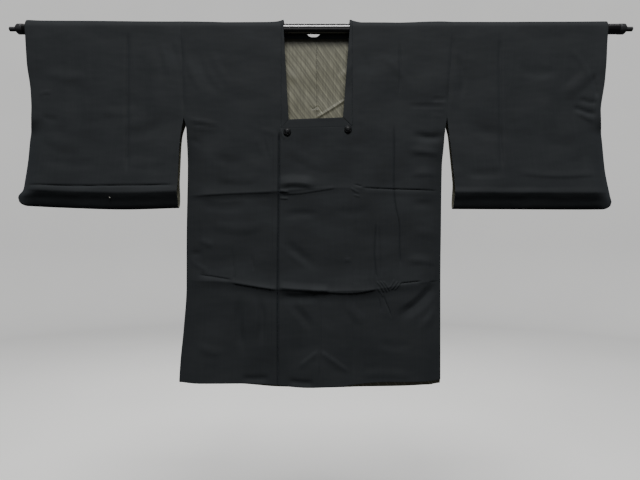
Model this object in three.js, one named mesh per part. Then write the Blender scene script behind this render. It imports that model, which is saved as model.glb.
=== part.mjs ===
// A michiyuki, the square-necked coat worn over a kimono, hung on a rod that runs through both sleeves.
// Millimetres. +Z is up, the wearer faces -Y, and the wearer's left hand is towards +X.
// The origin is on the rod's axis, at the middle of the coat.
//
// A kimono coat has no shoulder seam: each body panel and each sleeve is one length of cloth that goes
// up the front, over the shoulder and down the back. Each panel is worked out as a sheet of points, and
// gets its thickness along the sheet's own normals.

import * as THREE from "three";
import { mergeVertices } from "three/addons/utils/BufferGeometryUtils.js";

// ---- Driving dimensions ----

const CLOTH = 2; // silk, its lining and their turnings
const LINING = 1.0;
const COLLAR = 2.4; // the neck band is folded double
const SEAM = 0.3; // between two pieces that are sewn together

const ROD_RADIUS = 11;
const ROD_FROM = -652;
const ROD_TO = 671;
const PLUG = { radius: 11.4, length: 16.5, chamfer: 4 }; // closes each end of the rod
const PIN = { radius: 5, length: 15 }; // the stub that a rack's post holds

const REST = 0.5; // what lies on the rod stays this far off it
const WRAP = ROD_RADIUS + REST + CLOTH / 2; // the cloth's middle, round the rod
const ARMHOLE_END = -201; // the sleeve is sewn to the body down to here
const SIDE_SEAM_TOP = -310; // below this the front and back are sewn together at the side
const CUFF_END = -202; // the hand's opening ends here, and the sleeve is closed below it
const SLEEVE_BOTTOM = -399.5;
const SLEEVE_CORNER = { across: 20, up: 16 }; // the rounding at the foot of the cuff
const CUFF_CLOSES_OVER = 40; // the closed edge draws front and back together within this length
const CUFF_PINCH = 46; // and this far in from the edge
const SIDE_PINCH = 55; // the same for the body's side seams

// Below the rod the body hangs further out than its wrap: by this much, reached over this height.
const BODY_EASE = { front: 1.5, back: 0.8, over: 300 };
// The sleeve's front swells towards its rolled foot, and its back hangs a little closer.
const SLEEVE_EASE = { front: 3.6, back: -1.2, from: -100, over: 220 };

const NECK_SEAM = 78.5; // half the width between the seams of the neck band
const NECK_SHOULDER = 73; // half the neck's opening at the shoulder
const BACK_NECK_DROP = 31; // how far the back neck seam dips below the shoulder
const BACK_NECK_EDGE = 21; // and how far the band's free edge does
const NECK_SQUARENESS = 4; // the back neck is an ellipse at 2, and squarer above
const BAND_HEIGHT = 20; // of the band across the front
const PEAK = 4; // the band's free edge stands this far above the shoulder
const SEAM_PEAK = 1.6; // and its seam this far

const OVERLAP = CLOTH + 0.5; // the outer front lies this far in front of the under one
const OVERLAP_EDGE = -81; // the outer front's free edge
const OVERLAP_SWAY = { out: 3, from: -300, over: 300 }; // the free edge drifts outwards on its way down
const LIFT_SPAN = 60; // the outer front settles onto the under one from here right of the middle to as far left
const UNDER_EDGE = 72; // the under front's free edge, hidden
const UNDER_SHORTER = 4; // at the hem

const BUTTON = { radius: 8.2, height: 6.4, foot: 1.2, footRadius: 7.1, facets: 20, rings: 5 };
const BUTTON_PLACES = { button_right: { x: -64, z: -234.5 }, button_left: { x: 68.7, z: -228 } };

// ---- Outlines: each row gives a place (x from the middle, or out from it on one side) at a height z ----

const SHAPE = {
  right: {
    sign: -1,
    neckFoot: { x: -61.6, z: -205.6 },
    sleeveSeam: { shoulder: 300.7, armhole: 292 },
    bodySide: [
      { z: ARMHOLE_END, out: 292 },
      { z: -228, out: 286.8 },
      { z: -291, out: 286.3 },
      { z: -492, out: 289.1 },
      { z: -570, out: 289.1 },
      { z: -671, out: 295.8 },
      { z: -737, out: 302.5 },
      { z: -800, out: 306.5 },
    ],
    sleeveInner: [
      { z: ARMHOLE_END, out: 292.3 },
      { z: -230, out: 297.4 },
      { z: -261, out: 300.7 },
      { z: -316, out: 303 },
      { z: -367, out: 305.1 },
      { z: -404, out: 308 },
    ],
    cuff: [
      { z: 15, out: 644 },
      { z: -85, out: 637.3 },
      { z: -151, out: 628.5 },
      { z: -184, out: 626.6 },
      { z: -209, out: 631.6 },
      { z: -247, out: 636.8 },
      { z: -292, out: 641.2 },
      { z: -336, out: 647.9 },
      { z: -359, out: 652.4 },
      { z: -374, out: 663.6 },
      { z: -388, out: 663.6 },
      { z: -404, out: 657 },
    ],
    sleeveHang: [
      { out: 305, drop: 0.5 },
      { out: 430, drop: -2.8 },
      { out: 560, drop: 1 },
      { out: 660, drop: 6 },
    ],
  },
  left: {
    sign: 1,
    neckFoot: { x: 57.9, z: -200.5 },
    sleeveSeam: { shoulder: 302, armhole: 286.7 },
    bodySide: [
      { z: ARMHOLE_END, out: 286.7 },
      { z: -228, out: 283.1 },
      { z: -270, out: 280.4 },
      { z: -303, out: 278.1 },
      { z: -359, out: 277 },
      { z: -448, out: 275.9 },
      { z: -570, out: 274.7 },
      { z: -800, out: 274.7 },
    ],
    sleeveInner: [
      { z: ARMHOLE_END, out: 287 },
      { z: -230, out: 290 },
      { z: -261, out: 293.3 },
      { z: -305, out: 297.7 },
      { z: -360, out: 302.1 },
      { z: -404, out: 302.6 },
    ],
    cuff: [
      { z: 15, out: 643.1 },
      { z: -118, out: 634.3 },
      { z: -188, out: 624.4 },
      { z: -215, out: 629.3 },
      { z: -247, out: 633.6 },
      { z: -314, out: 640.3 },
      { z: -370, out: 651.4 },
      { z: -390, out: 655.9 },
      { z: -404, out: 655 },
    ],
    sleeveHang: [
      { out: 300, drop: -1.7 },
      { out: 450, drop: -2.5 },
      { out: 590, drop: -3 },
      { out: 655, drop: -2.5 },
    ],
  },
};

const FRONT_HEM = [
  { x: -305, z: -785 },
  { x: -169, z: -786 },
  { x: -81, z: -790 },
  { x: -15, z: -793.5 },
  { x: 51, z: -792 },
  { x: 85, z: -787.5 },
  { x: 161, z: -782.5 },
  { x: 275, z: -779.8 },
];
// The back hangs a little lower than the front.
const BACK_HEM = [
  { x: -305, z: -787 },
  { x: -165, z: -794 },
  { x: -80, z: -800 },
  { x: 0, z: -801 },
  { x: 190, z: -798 },
  { x: 250, z: -794 },
  { x: 275, z: -788 },
];

// Two storage folds cross the whole coat. Each stands out as a ridge, soft above and steeper below.
const FOLDS = [
  {
    height: 3.5,
    above: 42,
    below: 16,
    line: [
      { x: -287, z: -372 },
      { x: -87, z: -363 },
      { x: 51, z: -355 },
      { x: 174, z: -362 },
      { x: 275, z: -363 },
    ],
  },
  {
    height: 6,
    above: 55,
    below: 26,
    line: [
      { x: -289, z: -559 },
      { x: -205, z: -561 },
      { x: -83, z: -578 },
      { x: 0, z: -582 },
      { x: 100, z: -580 },
      { x: 200, z: -567 },
      { x: 275, z: -558 },
    ],
  },
];
// The hem swings out and in. Each wave is a soft tongue that fades upwards.
const HEM_WAVES = [
  { x: -255, half: 45, out: 3 },
  { x: -120, half: 48, out: -4 },
  { x: 5, half: 55, out: 5 },
  { x: 118, half: 42, out: -3.5 },
  { x: 215, half: 50, out: 3.5 },
];
const HEM_WAVE_TOP = -640;
const HEM_LEVEL = -785;

// The sleeve's foot is a soft roll. These are the middle of the cloth from the seam at the bottom to where
// the front and the back hang plainly: y from the rod's axis, and z above the sleeve's lowest line.
const ROLL_FRONT = [
  { y: -SEAM / 2, z: CLOTH / 2 },
  { y: -3.6, z: 1.4 },
  { y: -7.2, z: 5 },
  { y: -15.8, z: 20 },
  { y: -23.8, z: 33.5 },
  { y: -25.6, z: 38.5 },
  { y: -22.2, z: 45 },
  { y: -18.6, z: 51 },
];
const ROLL_BACK = [
  { y: SEAM / 2, z: CLOTH / 2 },
  { y: 3.8, z: 1.6 },
  { y: 7, z: 6 },
  { y: 10, z: 24 },
  { y: 11.6, z: 48 },
];

// ---- Small helpers ----

const ease = (t) => {
  const c = Math.min(1, Math.max(0, t));
  return c * c * (3 - 2 * c);
};
const mix = (a, b, t) => a + (b - a) * t;
const steps = (count) => Array.from({ length: count + 1 }, (_, i) => i / count);

// Reads a table at a place between its rows, along a smooth curve that never overshoots a row.
function read(table, along, want, at) {
  const rows = [...table].sort((a, b) => a[along] - b[along]);
  const last = rows.length - 1;
  if (at <= rows[0][along]) return rows[0][want];
  if (at >= rows[last][along]) return rows[last][want];
  const slope = (i) =>
    (rows[i + 1][want] - rows[i][want]) / (rows[i + 1][along] - rows[i][along]);
  const tangent = (i) => {
    if (i === 0 || i === last) return slope(Math.min(i, last - 1));
    const [before, after] = [slope(i - 1), slope(i)];
    return before * after <= 0 ? 0 : (2 * before * after) / (before + after);
  };
  const i = rows.findIndex((row, k) => k < last && at <= rows[k + 1][along]);
  const span = rows[i + 1][along] - rows[i][along];
  const t = (at - rows[i][along]) / span;
  const [t2, t3] = [t * t, t * t * t];
  return (
    (2 * t3 - 3 * t2 + 1) * rows[i][want] +
    (t3 - 2 * t2 + t) * span * tangent(i) +
    (3 * t2 - 2 * t3) * rows[i + 1][want] +
    (t3 - t2) * span * tangent(i + 1)
  );
}

// How far out from the middle the seam between body and sleeve is.
const seamOut = (side, z) =>
  mix(side.sleeveSeam.shoulder, side.sleeveSeam.armhole, (WRAP - z) / (WRAP - ARMHOLE_END));
const bodyOut = (side, z) => (z > ARMHOLE_END ? seamOut(side, z) : read(side.bodySide, "z", "out", z));
const sleeveIn = (side, z) =>
  z > ARMHOLE_END ? seamOut(side, z) + SEAM : read(side.sleeveInner, "z", "out", z);
const cuffOut = (side, z) => read(side.cuff, "z", "out", z);

// ---- How the cloth hangs ----

// A fold's height over the plain cloth, at a distance above its line.
function ridge(above, fold) {
  const reach = above > 0 ? fold.above : fold.below;
  const near = Math.max(0, 1 - Math.abs(above) / reach);
  return fold.height * near * near;
}

function foldsAt(x, z) {
  let out = 0;
  for (const fold of FOLDS) out += ridge(z - read(fold.line, "x", "z", x), fold);
  return out;
}

function hemWaves(x, z) {
  const down = ease((HEM_WAVE_TOP - z) / (HEM_WAVE_TOP - HEM_LEVEL));
  let out = 0;
  for (const wave of HEM_WAVES) {
    const near = Math.max(0, 1 - Math.abs(x - wave.x) / (2 * wave.half));
    out += wave.out * near * near * down;
  }
  return out;
}

// How far in front of the rod's axis the front of the body hangs, away from its side seams.
function frontDepth(x, z) {
  return WRAP + BODY_EASE.front * ease(-z / BODY_EASE.over) + foldsAt(x, z) + hemWaves(x, z);
}

// The same for the back, which takes half of each fold and wave.
function backDepth(x, z) {
  return WRAP + BODY_EASE.back * ease(-z / BODY_EASE.over) + foldsAt(x, z) / 2 - hemWaves(x, z) / 2;
}

const sleeveDepth = (z, swell) => WRAP + swell * ease((SLEEVE_EASE.from - z) / SLEEVE_EASE.over);

// Draws the front and back together at a closed edge. closed is 0 where the edge is open, 1 where it is sewn.
function pinch(depth, fromEdge, reach, closed) {
  const edge = CLOTH / 2 + SEAM;
  const open = 1 - Math.max(0, 1 - fromEdge / reach) ** 2;
  return edge + (depth - edge) * (1 - closed * (1 - open));
}

// The coat's body at a place across (x) and up (z): front is -1 on the front and 1 on the back.
function bodyPoint(side, front, x, z) {
  if (z > 0) return new THREE.Vector3(x, front * Math.sqrt(Math.max(0, WRAP ** 2 - z ** 2)), z);
  const closed = ease((ARMHOLE_END - z) / (ARMHOLE_END - SIDE_SEAM_TOP));
  const fromEdge = bodyOut(side, z) - Math.abs(x);
  const depth = front < 0 ? frontDepth(x, z) : backDepth(x, z);
  return new THREE.Vector3(x, front * pinch(depth, Math.max(0, fromEdge), SIDE_PINCH, closed), z);
}

// How far along a squared ellipse's other axis a place is, both as shares of its half axes.
const squared = (share) => Math.max(0, 1 - Math.min(1, share) ** NECK_SQUARENESS) ** (1 / NECK_SQUARENESS);

// The back neck seam's distance from the middle, at a height.
const neckSeamAt = (z) => Math.max(SEAM / 2, NECK_SEAM * squared((WRAP - z) / BACK_NECK_DROP));

// ---- From a sheet of points to a solid ----

// A sheet is a grid of points, in rows. This moves it along its own normals.
function moved(rows, distance) {
  const [m, n] = [rows.length - 1, rows[0].length - 1];
  const normalAt = (i, j) => {
    const along = new THREE.Vector3().subVectors(rows[Math.min(m, i + 1)][j], rows[Math.max(0, i - 1)][j]);
    const across = new THREE.Vector3().subVectors(rows[i][Math.min(n, j + 1)], rows[i][Math.max(0, j - 1)]);
    return across.cross(along).normalize();
  };
  return rows.map((row, i) => row.map((p, j) => p.clone().addScaledVector(normalAt(i, j), distance)));
}

// The solid reaches thickness / 2 to each side of the sheet.
function wall(rows, thickness) {
  const [m, n] = [rows.length - 1, rows[0].length - 1];
  const [outer, inner] = [moved(rows, thickness / 2), moved(rows, -thickness / 2)];
  const corners = [];
  const quad = (a, b, c, d) => corners.push(a, b, c, a, c, d);
  for (let i = 0; i < m; i++)
    for (let j = 0; j < n; j++) {
      quad(outer[i][j], outer[i][j + 1], outer[i + 1][j + 1], outer[i + 1][j]);
      quad(inner[i][j], inner[i + 1][j], inner[i + 1][j + 1], inner[i][j + 1]);
    }
  for (let i = 0; i < m; i++) {
    quad(outer[i][0], outer[i + 1][0], inner[i + 1][0], inner[i][0]);
    quad(outer[i + 1][n], outer[i][n], inner[i][n], inner[i + 1][n]);
  }
  for (let j = 0; j < n; j++) {
    quad(outer[0][j + 1], outer[0][j], inner[0][j], inner[0][j + 1]);
    quad(outer[m][j], outer[m][j + 1], inner[m][j + 1], inner[m][j]);
  }
  const geometry = new THREE.BufferGeometry().setFromPoints(corners);
  return mergeVertices(geometry, 1e-4);
}

// Turns a sheet over, so that its outer face is the one that shows.
const turned = (rows) => rows.map((row) => [...row].reverse());
const facing = (side, rows) => (side.sign < 0 ? turned(rows) : rows);

// ---- The coat's panels ----

// Heights down the body. They are closer together where the neck, the armholes and the folds are.
const FRONT_LEVELS = [
  0, -35, -80, -130, -170, ARMHOLE_END, -225, -256, -284, SIDE_SEAM_TOP, -336, -351, -363, -377, -406, -450,
  -495, -531, -556, -572, -586, -604, -640, -680, -730, HEM_LEVEL,
];
const BACK_NECK = WRAP - BACK_NECK_DROP;
const BACK_LEVELS = [
  0, -6, -11, -15, -17.5, -18.3, BACK_NECK, -60, -100, -150, ARMHOLE_END, -228, -266, SIDE_SEAM_TOP,
  -346, -364, -381, -435, -500, -551, -572, -596, -640, -710, HEM_LEVEL,
];
const ROUND_THE_ROD = [1, 2, 3, 4, 5, 6, 7].map((step) => (step / 8) * Math.PI);
const PANEL_COLUMNS = [0, 0.13, 0.27, 0.41, 0.55, 0.68, 0.79, 0.88, 0.95, 1]; // closer at the side seam
const SLEEVE_COLUMNS = [0, 0.12, 0.25, 0.38, 0.5, 0.62, 0.73, 0.82, 0.89, 0.94, 0.975, 1]; // and at the cuff
const SLEEVE_FRONT_LEVELS = [-324, -290, -256, -230, CUFF_END - 6, -170, -125, -80, -35, 0];
const SLEEVE_BACK_LEVELS = [0, -50, -110, -170, CUFF_END - 6, -230, -256, -300];
const STRETCH_FROM = -604; // the rows below this one spread to reach the hem

function toHem(level, hem) {
  if (level >= STRETCH_FROM) return level;
  return mix(STRETCH_FROM, hem, (level - STRETCH_FROM) / (HEM_LEVEL - STRETCH_FROM));
}

// The height of the lower edge of the neck band, across the front.
function bandFoot(x) {
  const { left, right } = SHAPE;
  const t = (x + NECK_SEAM) / (2 * NECK_SEAM);
  return mix(right.neckFoot.z, left.neckFoot.z, t) - BAND_HEIGHT;
}

// One body panel, from the front hem over the shoulder to the back hem. Each row runs out from the middle.
function bodySheet(side) {
  const row = (front, level, inner) =>
    PANEL_COLUMNS.map((t) => {
      const place = (z) => side.sign * mix(inner, bodyOut(side, z), t);
      const z = toHem(level, read(front < 0 ? FRONT_HEM : BACK_HEM, "x", "z", place(level)));
      return bodyPoint(side, front, place(z), z);
    });
  const over = (angle) => {
    const z = WRAP * Math.sin(angle);
    const inner = angle <= Math.PI / 2 ? NECK_SEAM : neckSeamAt(z);
    return PANEL_COLUMNS.map(
      (t) => new THREE.Vector3(side.sign * mix(inner, bodyOut(side, z), t), -WRAP * Math.cos(angle), z),
    );
  };
  return [
    ...[...FRONT_LEVELS].reverse().map((level) => row(-1, level, NECK_SEAM)),
    ...ROUND_THE_ROD.map(over),
    ...BACK_LEVELS.map((level) => row(1, level, neckSeamAt(level))),
  ];
}

// The lining of the back is half on each side of its centre seam, and lies on the panel's own points. It
// starts at the neck band and ends short of the side seam.
function liningSheet(side) {
  const inside = moved(facing(side, bodySheet(side)), -(CLOTH / 2 + SEAM + LINING / 2));
  const fromNeck = BACK_LEVELS.length - BACK_LEVELS.indexOf(BACK_NECK);
  const columns = side.sign < 0 ? [1, PANEL_COLUMNS.length] : [0, PANEL_COLUMNS.length - 1];
  return inside.slice(-fromNeck).map((row) => row.slice(...columns));
}

// How far in front of the plain front the outer overlap lies: all of it at its free edge, none at its seam.
const overlapLift = (x) => OVERLAP * (1 - ease((x + LIFT_SPAN) / (2 * LIFT_SPAN)));

// A front overlap, from the neck band to the hem: the outer one belongs to the left, the under one to the right.
function overlapSheet(outer) {
  const levels = FRONT_LEVELS.filter((level) => level < ARMHOLE_END);
  const [from, to] = outer ? [OVERLAP_EDGE, NECK_SEAM - SEAM] : [SEAM - NECK_SEAM, UNDER_EDGE];
  const rows = levels.map((level, i) =>
    steps(7).map((t) => {
      const low = ease((OVERLAP_SWAY.from - level) / OVERLAP_SWAY.over);
      const sway = outer ? -OVERLAP_SWAY.out * low * (1 - t) : 0;
      const x = mix(from, to, t) + sway;
      const hem = read(FRONT_HEM, "x", "z", x) + (outer ? 0 : UNDER_SHORTER);
      const z = i === 0 ? bandFoot(x) - SEAM : toHem(level, hem);
      const lift = overlapLift(x) - (outer ? 0 : OVERLAP);
      return new THREE.Vector3(x, -frontDepth(x, z) - lift, z);
    }),
  );
  return turned(rows);
}

// ---- The neck band ----

// Where the band is at a point of the panel's neck seam: its own edge along the seam, and its free edge.
function bandAt(side, seam) {
  const { sign, neckFoot } = side;
  const across = (a, b) => [a, a.clone().lerp(b, 0.5), b];
  if (seam.y < 0 && seam.z <= 0) {
    const down = seam.z / bandFoot(sign * NECK_SEAM);
    const edge = mix(NECK_SHOULDER, Math.abs(neckFoot.x), down);
    const edgeZ = down * neckFoot.z;
    return across(
      bodyPoint(side, -1, sign * (NECK_SEAM - SEAM), seam.z),
      bodyPoint(side, -1, sign * edge, edgeZ),
    );
  }
  if (seam.y < 0) {
    const angle = Math.atan2(seam.z, -seam.y);
    const raised = (x, rise) => {
      const r = WRAP + rise * Math.sin(angle) ** 2;
      return new THREE.Vector3(sign * x, -r * Math.cos(angle), r * Math.sin(angle));
    };
    return across(raised(NECK_SEAM - SEAM, SEAM_PEAK), raised(NECK_SHOULDER, PEAK));
  }
  const down = Math.min(1, (WRAP - seam.z) / BACK_NECK_DROP);
  const onBack = (half, drop, peak) => {
    const r = WRAP + peak * (1 - down) ** 2;
    const z = r - drop * down;
    const x = sign * half * squared(down);
    const y = z > 0 ? Math.sqrt(Math.max(0, r * r - z * z)) : backDepth(x, z);
    return new THREE.Vector3(x, y, z);
  };
  return across(
    onBack(NECK_SEAM - SEAM, BACK_NECK_DROP - SEAM, SEAM_PEAK),
    onBack(NECK_SHOULDER, BACK_NECK_EDGE, PEAK),
  );
}

// Half of the band round the neck: from the mitre at the front, over the shoulder, to the middle of the back.
function collarHalf(side) {
  const foot = bandFoot(side.sign * NECK_SEAM);
  const seam = bodySheet(side)
    .map((row) => row[0])
    .filter(({ y, z }) => (y < 0 ? z > foot + BAND_HEIGHT / 2 : z >= BACK_NECK));
  return [new THREE.Vector3(0, -WRAP, foot), ...seam].map((point) => bandAt(side, point));
}

// The whole band round the neck is one strip: the right half, then the left half backwards.
function collarSheet() {
  const right = collarHalf(SHAPE.right);
  const left = collarHalf(SHAPE.left).reverse();
  const middle = right.at(-1).map((p, j) => p.clone().lerp(left[0][j], 0.5).setX(0));
  return [...right.slice(0, -1), middle, ...left.slice(1)];
}

// The band across the front, with its ends cut on the slant to meet the upright bands. The under one stops
// short on the left, where the under overlap ends.
function crossSheet(outer) {
  const { left, right } = SHAPE;
  const gap = 2 * SEAM;
  const short = outer ? gap : NECK_SEAM - UNDER_EDGE;
  const edges = [
    { from: right.neckFoot.x + gap, to: left.neckFoot.x - short },
    { from: gap - NECK_SEAM, to: NECK_SEAM - short },
  ];
  const neckEdge = (x) => {
    const t = (x - right.neckFoot.x) / (left.neckFoot.x - right.neckFoot.x);
    return mix(right.neckFoot.z, left.neckFoot.z, t);
  };
  const rows = steps(2).map((down) =>
    steps(8).map((t) => {
      const x = mix(mix(edges[0].from, edges[0].to, t), mix(edges[1].from, edges[1].to, t), down);
      const z = mix(neckEdge(x), bandFoot(x), down);
      return new THREE.Vector3(x, -frontDepth(x, z) - overlapLift(x) + (outer ? 0 : OVERLAP), z);
    }),
  );
  return turned(rows);
}

// ---- The sleeves ----

// The sleeve's lowest line rises into a rounded corner at the cuff.
function sleeveFoot(side, out) {
  const { across, up } = SLEEVE_CORNER;
  const corner = Math.max(0, out - (cuffOut(side, SLEEVE_BOTTOM) - across)) / across;
  const rise = up * (1 - Math.sqrt(Math.max(0, 1 - Math.min(1, corner) ** 2)));
  return SLEEVE_BOTTOM + read(side.sleeveHang, "out", "drop", out) + rise;
}

// A place on the sleeve: t runs from the body's side to the cuff, and y is the cloth's depth away from the
// cuff's closed edge.
function sleevePoint(side, t, y, z) {
  const out = mix(sleeveIn(side, z), cuffOut(side, z), t);
  const closed = ease((CUFF_END - z) / CUFF_CLOSES_OVER);
  const depth = pinch(Math.abs(y), Math.max(0, cuffOut(side, z) - out), CUFF_PINCH, closed);
  return new THREE.Vector3(side.sign * out, Math.sign(y) * Math.min(depth, Math.abs(y)), z);
}

// One sleeve, from the seam at its foot up the front, over the rod and down the back to the seam.
function sleeveSheet(side) {
  const level = (y, z) => SLEEVE_COLUMNS.map((t) => sleevePoint(side, t, y, z));
  const roll = ({ y, z }) =>
    SLEEVE_COLUMNS.map((t) => {
      const foot = sleeveFoot(side, mix(sleeveIn(side, SLEEVE_BOTTOM), cuffOut(side, SLEEVE_BOTTOM), t));
      return sleevePoint(side, t, y, foot + z);
    });
  return [
    ...ROLL_FRONT.map(roll),
    ...SLEEVE_FRONT_LEVELS.map((z) => level(-sleeveDepth(z, SLEEVE_EASE.front), z)),
    ...ROUND_THE_ROD.map((angle) => level(-WRAP * Math.cos(angle), WRAP * Math.sin(angle))),
    ...SLEEVE_BACK_LEVELS.map((z) => level(sleeveDepth(z, SLEEVE_EASE.back), z)),
    ...[...ROLL_BACK].reverse().map(roll),
  ];
}

// ---- Buttons and rod ----

// A covered button: a low dome on a flat foot, standing out towards -Y.
function buttonGeometry() {
  const { radius, height, foot, footRadius, facets, rings } = BUTTON;
  const dome = steps(rings).map((t) => {
    const angle = (t * Math.PI) / 2;
    return new THREE.Vector2(radius * Math.cos(angle), foot + (height - foot) * Math.sin(angle));
  });
  dome[dome.length - 1].x = 0;
  const profile = [new THREE.Vector2(0, 0), new THREE.Vector2(footRadius, 0), ...dome];
  return new THREE.LatheGeometry(profile, facets).rotateX(Math.PI);
}

function lathe(profile, facets) {
  const points = profile.map(([r, h]) => new THREE.Vector2(r, h));
  return new THREE.LatheGeometry(points, facets).rotateZ(-Math.PI / 2);
}

function rodGeometry() {
  return lathe([[0, ROD_FROM], [ROD_RADIUS, ROD_FROM], [ROD_RADIUS, ROD_TO], [0, ROD_TO]], 32);
}

// A plug and its pin, drawn with the plug's inner face at 0 and the pin towards +X.
function plugGeometry() {
  const { radius, length, chamfer } = PLUG;
  return lathe(
    [
      [0, 0],
      [radius, 0],
      [radius, length - chamfer],
      [radius - chamfer, length],
      [PIN.radius, length],
      [PIN.radius, length + PIN.length],
      [0, length + PIN.length],
    ],
    24,
  );
}

// ---- The finished object ----

const finish = (color, roughness, metalness = 0) => new THREE.MeshStandardMaterial({ color, roughness, metalness });
const SILK = finish(0x25282b, 0.62);
const LINING_SILK = finish(0x8d8973, 0.55);
const KNOB = finish(0x15171a, 0.35);
const STEEL = finish(0x0c0c0d, 0.25, 0.3);

const coat = new THREE.Group();

function add(name, geometry, material) {
  const mesh = new THREE.Mesh(geometry, material);
  mesh.name = name;
  coat.add(mesh);
  return mesh;
}

for (const [name, side] of Object.entries(SHAPE)) {
  add(`body_${name}`, wall(facing(side, bodySheet(side)), CLOTH), SILK);
  add(`sleeve_${name}`, wall(facing(side, sleeveSheet(side)), CLOTH), SILK);
  add(`lining_back_${name}`, wall(liningSheet(side), LINING), LINING_SILK);
}
add("overlap_left", wall(overlapSheet(true), CLOTH), SILK);
add("overlap_right", wall(overlapSheet(false), CLOTH), SILK);
const PROUD = (COLLAR - CLOTH) / 2; // the band's inner face is level with the cloth's
add("collar", wall(moved(collarSheet(), PROUD), COLLAR), SILK);
add("collar_cross_left", wall(moved(crossSheet(true), PROUD), COLLAR), SILK);
add("collar_cross_right", wall(crossSheet(false), CLOTH), SILK);

for (const [name, { x, z }] of Object.entries(BUTTON_PLACES)) {
  const button = add(name, buttonGeometry(), KNOB);
  button.position.set(x, -frontDepth(x, z) - overlapLift(x) - CLOTH / 2 - SEAM - 2 * PROUD, z);
}

add("rod", rodGeometry(), STEEL);
add("rod_plug_left", plugGeometry(), STEEL).position.setX(ROD_TO + SEAM);
const rightPlug = add("rod_plug_right", plugGeometry(), STEEL);
rightPlug.position.setX(ROD_FROM - SEAM);
rightPlug.rotation.z = Math.PI;

export default coat;
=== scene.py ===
"""The looks of a michiyuki, the square-necked coat worn over a kimono, hung on a rod through both sleeves.

Sizes in the tables are millimetres, as a cutter would write them. Blender gets metres. The wearer faces -Y,
and the wearer's left hand is towards +X. The origin is on the rod's axis, at the middle of the coat.
"""

import math
from collections import namedtuple

import bmesh
import bpy
import numpy as np
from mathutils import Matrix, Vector


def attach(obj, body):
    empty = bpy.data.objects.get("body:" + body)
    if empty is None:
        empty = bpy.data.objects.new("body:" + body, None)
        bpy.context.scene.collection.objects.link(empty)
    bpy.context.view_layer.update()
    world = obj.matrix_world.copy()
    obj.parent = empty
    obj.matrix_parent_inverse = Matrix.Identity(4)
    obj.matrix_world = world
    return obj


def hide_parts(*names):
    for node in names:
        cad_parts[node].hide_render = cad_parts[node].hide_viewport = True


bl_info = {
    "name": "Michiyuki Coat",
    "version": (1, 0, 0),
    "blender": (4, 5, 0),
    "location": "View3D > Sidebar > Coat",
    "description": "Dresses the packed coat with cloth, lining, knobs and its rod",
    "category": "Object",
}

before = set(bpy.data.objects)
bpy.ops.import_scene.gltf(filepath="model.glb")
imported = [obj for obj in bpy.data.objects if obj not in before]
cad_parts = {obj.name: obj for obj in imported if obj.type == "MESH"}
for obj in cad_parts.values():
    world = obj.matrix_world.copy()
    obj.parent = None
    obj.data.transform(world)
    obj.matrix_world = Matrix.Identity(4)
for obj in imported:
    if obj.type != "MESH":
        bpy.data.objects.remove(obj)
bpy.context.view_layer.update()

MM = 0.001

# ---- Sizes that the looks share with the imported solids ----

ROD_RADIUS = 11.0
ROD_FROM, ROD_TO = -652.0, 671.0
REST = 0.5  # from the rod to the cloth
SEAM = 0.3
STITCHED = -0.4  # sewn edges run into each other, so that no light shows through
CLOTH = 2.0
LINING = 1.0
BAND = 2.4  # folded double
KNOB_RADIUS = 8.2
WRAP = ROD_RADIUS + REST + CLOTH / 2  # from the rod's axis to the middle of the cloth
ARMHOLE_END = -201.0
SIDE_SEAM_TOP = -310.0
CUFF_END = -202.0
SLEEVE_BOTTOM = -399.5
NECK_SEAM = 78.5
NECK_SHOULDER = 73.0
BACK_NECK_DROP = 31.0
BACK_NECK_EDGE = 17.0
NECK_SQUARENESS = 7
BAND_HEIGHT = 20.0
PEAK = 6.1  # the neck band's rise at the shoulder
OVERLAP = CLOTH + 0.5  # from one overlap to the other
OVERLAP_TOP = ARMHOLE_END - 24
OVERLAP_EDGE = -81.0
OVERLAP_SWAY = 3.0  # how far the free edge drifts out on its way down
UNDER_EDGE = 72.0
# The under overlap is shorter at the hem, lies a little deeper and has flatter creases, clear of the outer one.
UNDER_SHORT, UNDER_SINK, UNDER_DAMP = 4.0, 0.6, 0.55
LIFT_SPAN = 60.0
# The outer overlap's free edge turns in, towards the panel, by EDGE_TURN over its last EDGE_TURN_REACH. The turn
# begins at the height EDGE_TURN_TOP and is full EDGE_TURN_START lower.
EDGE_TURN = 2.4
EDGE_TURN_REACH = 4.0
EDGE_TURN_TOP = -230.0
EDGE_TURN_START = 18.0
BACK_TRIM = 4.5  # off the back's open edge of a sleeve, below the armhole
# Front and back swing out by this much on the first HANG_SPAN below the rod.
FRONT_HANG, BACK_HANG, HANG_SPAN = 1.5, 0.8, 300.0
SWELL_START = 90.0  # the swells grow over this much cloth below the rod
# A sewn edge draws front and back together over this much cloth. A cuff is sewn shut below CUFF_END, wholly so
# CUFF_CLOSES lower.
SIDE_PINCH = 55.0
CUFF_PINCH, CUFF_CLOSES = 46.0, 40.0
LINING_IN = CLOTH / 2 + SEAM + 1.6  # from the middle of a panel to the middle of its lining
LINING_SHORT = 16.0  # from the lining's edge to the armhole
LINING_LIMIT = -1.3  # a deeper trough would touch the panel
# The neck band's free edge sags behind the rod, a little off the middle: how far, where, and half its width.
NECK_DIP, DIP_AT, DIP_HALF = 8.3, -7.3, 13.5
BAND_SINK = (BAND - CLOTH) / 2  # keeps the outer cross band's face level with the cloth's


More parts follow.
